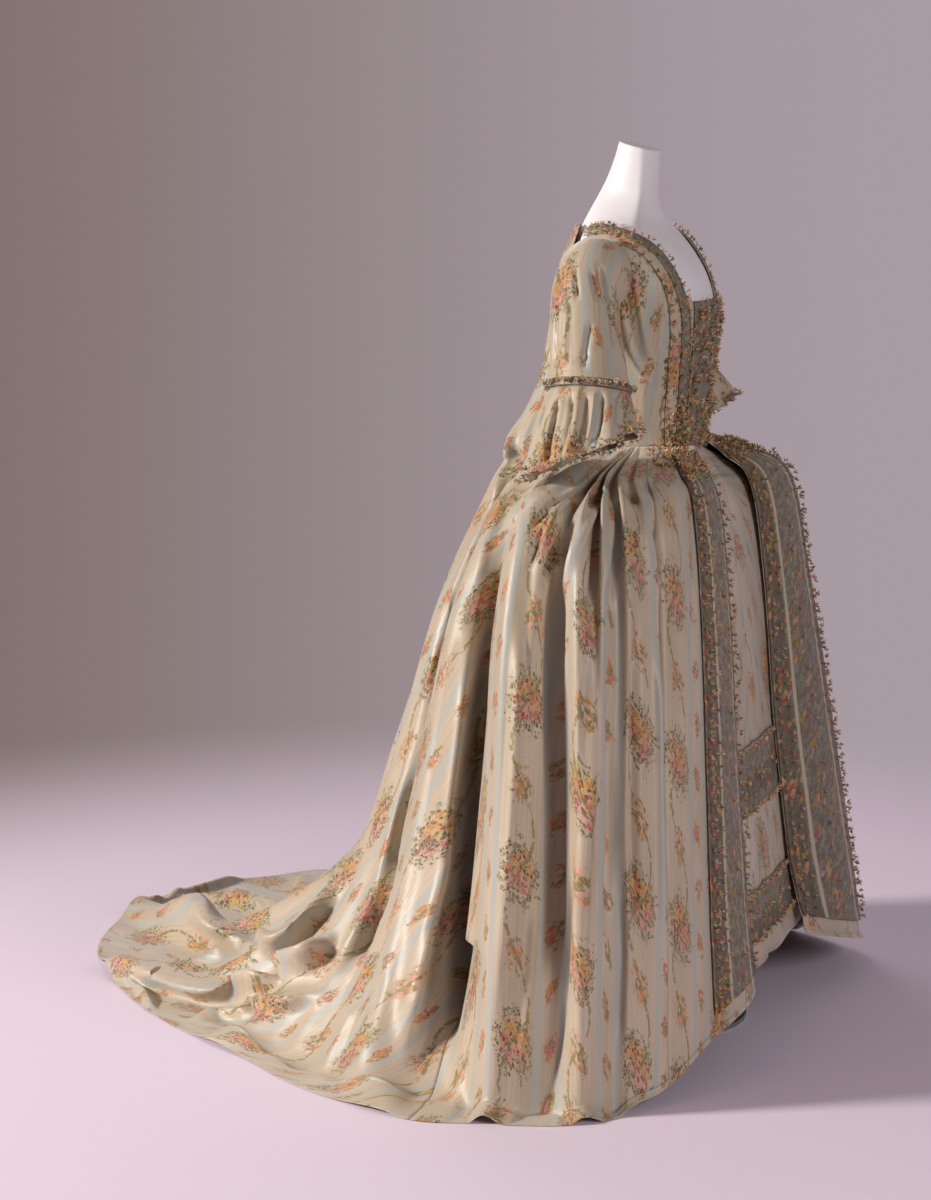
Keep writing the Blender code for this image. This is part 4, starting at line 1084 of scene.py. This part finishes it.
sleeve = {"bandShare": 0.3, "ease": 0.0003, "ruck": 0.0012, "rucks": 90, "waves": 9, "wave": 0.008}
flounce = {"spread": 0.036, "shift": 0.048, "front": 0.055, "back": 0.158, "curve": 0.6, "inner": 0.3,
           "innerSpread": 0.55}
for side, word in sides:
    u, v, angle = tube(100, 74)
    points = sleevePoint(side, v * 5, angle)
    lengths = evenSpread(points)
    points = creasedAlike("sleeve", side, points, sleeveCreases, True)
    layTrim(f"sleeve_silk_{word}", points, brocadeSilk, f"sleeve_{word}", lengths, True)
    u, v, angle = tube(120, 8)
    rucks = sleeve["ruck"] * np.abs(np.sin(u * sleeve["rucks"])) * np.sin(np.pi * v)
    points = sleevePoint(side, 5 - sleeve["bandShare"] * (1 - v), angle, onTop + sleeve["ease"] + rucks)
    cuffs[side] = layTrim(f"sleeve_lace_{word}", points, plainLace, f"sleeve_band_{word}",
                          closed=True)
    u, v, angle = tube(180, 36)
    behind = 0.5 + 0.5 * np.sin(angle)
    inner = 0.5 - 0.5 * np.cos(angle)
    length = flounce["front"] + (flounce["back"] - flounce["front"]) * behind ** flounce["curve"]
    length = length * (1 - flounce["inner"] * inner ** 2)
    ripple = sleeve["wave"] * np.cos(angle * sleeve["waves"]) * v
    extra = flounce["spread"] * v ** 0.8 * (1 - flounce["innerSpread"] * inner) + ripple
    points = sleevePoint(side, 5 + 0 * u, angle, extra)
    points[..., 0] -= side * flounce["shift"] * v
    points[..., 2] -= 2 * seamGap + length * v
    lengths = evenSpread(points)
    points = creasedAlike("flounce", side, points, flounceCreases, True)
    flounces[side] = layTrim(f"elbow_flounce_{word}", points, brocadeSilk, f"flounce_{word}",
                             lengths, True)
print("bodice and sleeves dressed")

# The form is lofted afresh through its own sections, finely enough to look smooth. Its neck is cut
# at a slant, down towards the front, with a rounded rim. The stand keeps its solids.
neck = {"slope": 0.24, "slopeHeights": (1.465, 1.495, 1.518), "slopeShares": (0, 0.5, 1),
        "rim": ((-3, 1.0, 0.0014), (-2, 0.985, 0.0004), (-1, 0.96, 0.0))}   # row, share of the girth, drop
lowest, top = formSections[0][0], formSections[-1][0]
heights = np.concatenate([np.linspace(lowest, top, 110), [top] * 2])
bearings = np.linspace(0, 360, 97)[:-1]
shell = formPoint(bearings[:, None], heights[None, :])
middle = shell[:, -1].mean(0)
for row, girth, drop in neck["rim"]:
    shell[:, row] = middle + (shell[:, row] - middle) * girth
    shell[:, row, 2] -= drop
slant = np.interp(heights, neck["slopeHeights"], neck["slopeShares"])
shell[..., 2] += neck["slope"] * shell[..., 1] * slant
form = Shader("form_white", roughness=0.5)
u, v = form.uv()
speck = form.noise(form.point(u * 6, v * 6), 3.0)
form.paint(form.mix(speck, (0.82, 0.79, 0.84), (0.88, 0.85, 0.89)), roughness=0.42 + 0.15 * speck)
bust = layCloth("form_shell", shell, *spread(shell, 0.0), form.material, 0, True)
ends = bmesh.new()
ends.from_mesh(bust.data)
ends.verts.ensure_lookup_table()
levels = shell.shape[1]
for row, turn in ((0, 1), (levels - 1, -1)):
    ends.faces.new([ends.verts[k * levels + row] for k in range(len(shell))][::turn])
ends.to_mesh(bust.data)
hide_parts("dress_form")
steel = Shader("stand_grey", roughness=0.4, metallic=0.7)
grain = steel.noise(steel.node("ShaderNodeTexCoord", out=3), 4.0, scale=40.0)
steel.paint(steel.mix(grain, (0.22, 0.22, 0.24), (0.32, 0.32, 0.34)), roughness=0.3 + 0.25 * grain)
for name in ("stand_pole", "stand_base"):
    solid = bpy.data.objects[name]
    solid.data.materials.clear()
    solid.data.materials.append(steel.material)
print("form and stand finished")


# Fly fringe: knots of floss, each a small fan of blades, joined into one piece a place. Each row
# along a band or a furbelow is its share of the width and its spacing.
fly = {
    "blades": 7, "long": 0.0085, "wide": 0.0024, "rooted": 0.0003, "lift": 0.001, "spread": 0.9,
    "bandRows": ((0.03, 0.011), (0.12, 0.016), (0.20, 0.022), (0.52, 0.05), (0.86, 0.022), (0.97, 0.013)),
    "colours": ((0.62, 0.50, 0.30), (0.66, 0.32, 0.07), (0.46, 0.10, 0.07), (0.16, 0.19, 0.05),
                (0.64, 0.36, 0.27), (0.30, 0.26, 0.09), (0.55, 0.40, 0.14), (0.24, 0.20, 0.15)),
    # root: the colour of the painted shade at the base of each blade, where a tuft's blades crowd
    "root": (0.10, 0.07, 0.04),
}


def floss():
    # each tuft's colour is the number in its cloth map, with painted shade towards the blades' roots
    f = Shader("fly_floss", roughness=0.55, sheen=0.4)
    u, v = f.uv()
    first, *others = fly["colours"]
    tint = f.coats(first, *((u > k + 0.5, colour) for k, colour in enumerate(others)))
    # painted shade: each blade darkens towards its root, where the blades of a tuft crowd together
    tint = f.mix(f.step(v, 0.6, 0.0) * 0.5, tint, fly["root"])
    return f.paint(tint, roughness=0.45 + 0.2 * v)


flossSilk = floss()


def unit(vector):
    return vector / max(np.linalg.norm(vector), 1e-6)


def flyFringe(name, tufts, seed=0, size=1.0):
    # tufts: place, the direction it stands in, and a direction along the trimming
    chance = random.Random(seed)
    tints = len(fly["colours"])
    places, faces, marks = [], [], []
    for place, outward, along in tufts:
        outward, along = unit(outward), unit(along)
        aside = np.cross(outward, along)
        main = chance.randrange(tints)
        for k in range(fly["blades"]):
            turn = math.tau * (k + chance.random() * 0.8) / fly["blades"]
            lean = chance.uniform(0.35, 1.0) * fly["spread"]
            level = along * math.cos(turn) + aside * math.sin(turn)
            reach = outward * math.cos(lean) + level * math.sin(lean)
            length = fly["long"] * size * chance.uniform(0.6, 1.15)
            half = unit(np.cross(reach, outward + along * 0.3)) * fly["wide"] * size / 2
            root = place + outward * fly["rooted"]
            tip = root + reach * length
            first = len(places)
            places += [root - half * 0.4, root + half * 0.4, tip + half, tip - half]
            faces.append((first, first + 1, first + 2, first + 3))
            mark = main if chance.random() < 0.65 else chance.randrange(tints)
            marks += [(mark, 0.0), (mark, 0.0), (mark, 1.0), (mark, 1.0)]
    mesh = bpy.data.meshes.new(name)
    mesh.from_pydata([tuple(p) for p in places], [], faces)
    mesh.uv_layers.new(name="cloth").data.foreach_set("uv", np.array(marks, np.float32).reshape(-1))
    mesh.materials.append(flossSilk)
    piece = placed(name, mesh)
    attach(piece, "root")


def tuftsAlong(line, outward, spacing, seed, stray):
    # tufts along a line of points, at uneven lengths about the spacing
    chance = random.Random(seed)
    lengths = np.concatenate([[0], np.cumsum(np.linalg.norm(np.diff(line, axis=0), axis=-1))])
    tufts, at = [], spacing / 2
    while at < lengths[-1]:
        k = min(int(np.searchsorted(lengths, at)), len(line) - 1)
        astray = np.array([chance.uniform(-stray, stray) for _ in range(3)])
        along = line[k] - line[max(k - 1, 0)] + 1e-6
        tufts.append((line[k] + astray + outward[k] * fly["lift"], outward[k], along))
        at += spacing * chance.uniform(0.75, 1.25)
    return tufts


def alongColumn(points, k, spacing, seed, stray):
    return tuftsAlong(points[k], facingOut(points)[k], spacing, seed, stray)


def alongRow(points, k, spacing, seed, stray=0.002, closed=False):
    return tuftsAlong(points[:, k], facingOut(points, closed)[:, k], spacing, seed, stray)


def scattered(points, count, seed):
    chance = random.Random(seed)
    n = facingOut(points)
    tufts = []
    for _ in range(count):
        i, j = chance.randrange(points.shape[0]), chance.randrange(points.shape[1])
        along = points[i, j] - points[i, max(j - 1, 0)] + 1e-6
        tufts.append((points[i, j] + n[i, j] * fly["lift"], n[i, j], along))
    return tufts


for side, word in sides:
    edge, robing, cuff, frill = bands[side], robings[side], cuffs[side], flounces[side]
    tufts = []
    for share, spacing in fly["bandRows"]:
        k = round(share * (len(edge) - 1))
        tufts += alongColumn(edge, k, spacing, int(share * 100) + side, 0.004)
    flyFringe(f"band_flies_{word}", tufts, 5 + side)
    tufts = alongColumn(robing, 1, 0.010, 31 + side, 0.003)
    tufts += alongColumn(robing, len(robing) // 2, 0.018, 33 + side, 0.005)
    tufts += alongColumn(robing, len(robing) - 2, 0.016, 35 + side, 0.004)
    flyFringe(f"robing_flies_{word}", tufts, 7 + side, 0.9)
    tufts = alongRow(cuff, cuff.shape[1] // 2, 0.010, 41 + side, 0.003, True)
    flyFringe(f"cuff_flies_{word}", tufts, 9 + side)
    tufts = alongRow(frill, -1, 0.010, 43 + side, 0.002, True)
    tufts += alongRow(frill, -6, 0.024, 45 + side, 0.006, True)
    flyFringe(f"flounce_flies_{word}", tufts, 11 + side)
    tufts = scattered(edge[:, :26], 90, 71) + scattered(robing[:, :22], 45, 72)
    tufts += scattered(panels["front", side][:, :14], 60, 73)
    flyFringe(f"waist_flies_{word}", tufts, 17 + side, 1.1)
flyFringe("stomacher_flies", scattered(ruching, 230, 51), 13)
for word, strip in furbelows.items():
    tufts = alongRow(strip, 1, 0.013, 61) + alongRow(strip, -2, 0.013, 62)
    tufts += alongRow(strip, strip.shape[1] // 2, 0.026, 63, 0.008)
    flyFringe(f"furbelow_flies_{word}", tufts, 15)
print("fly fringe sewn on")
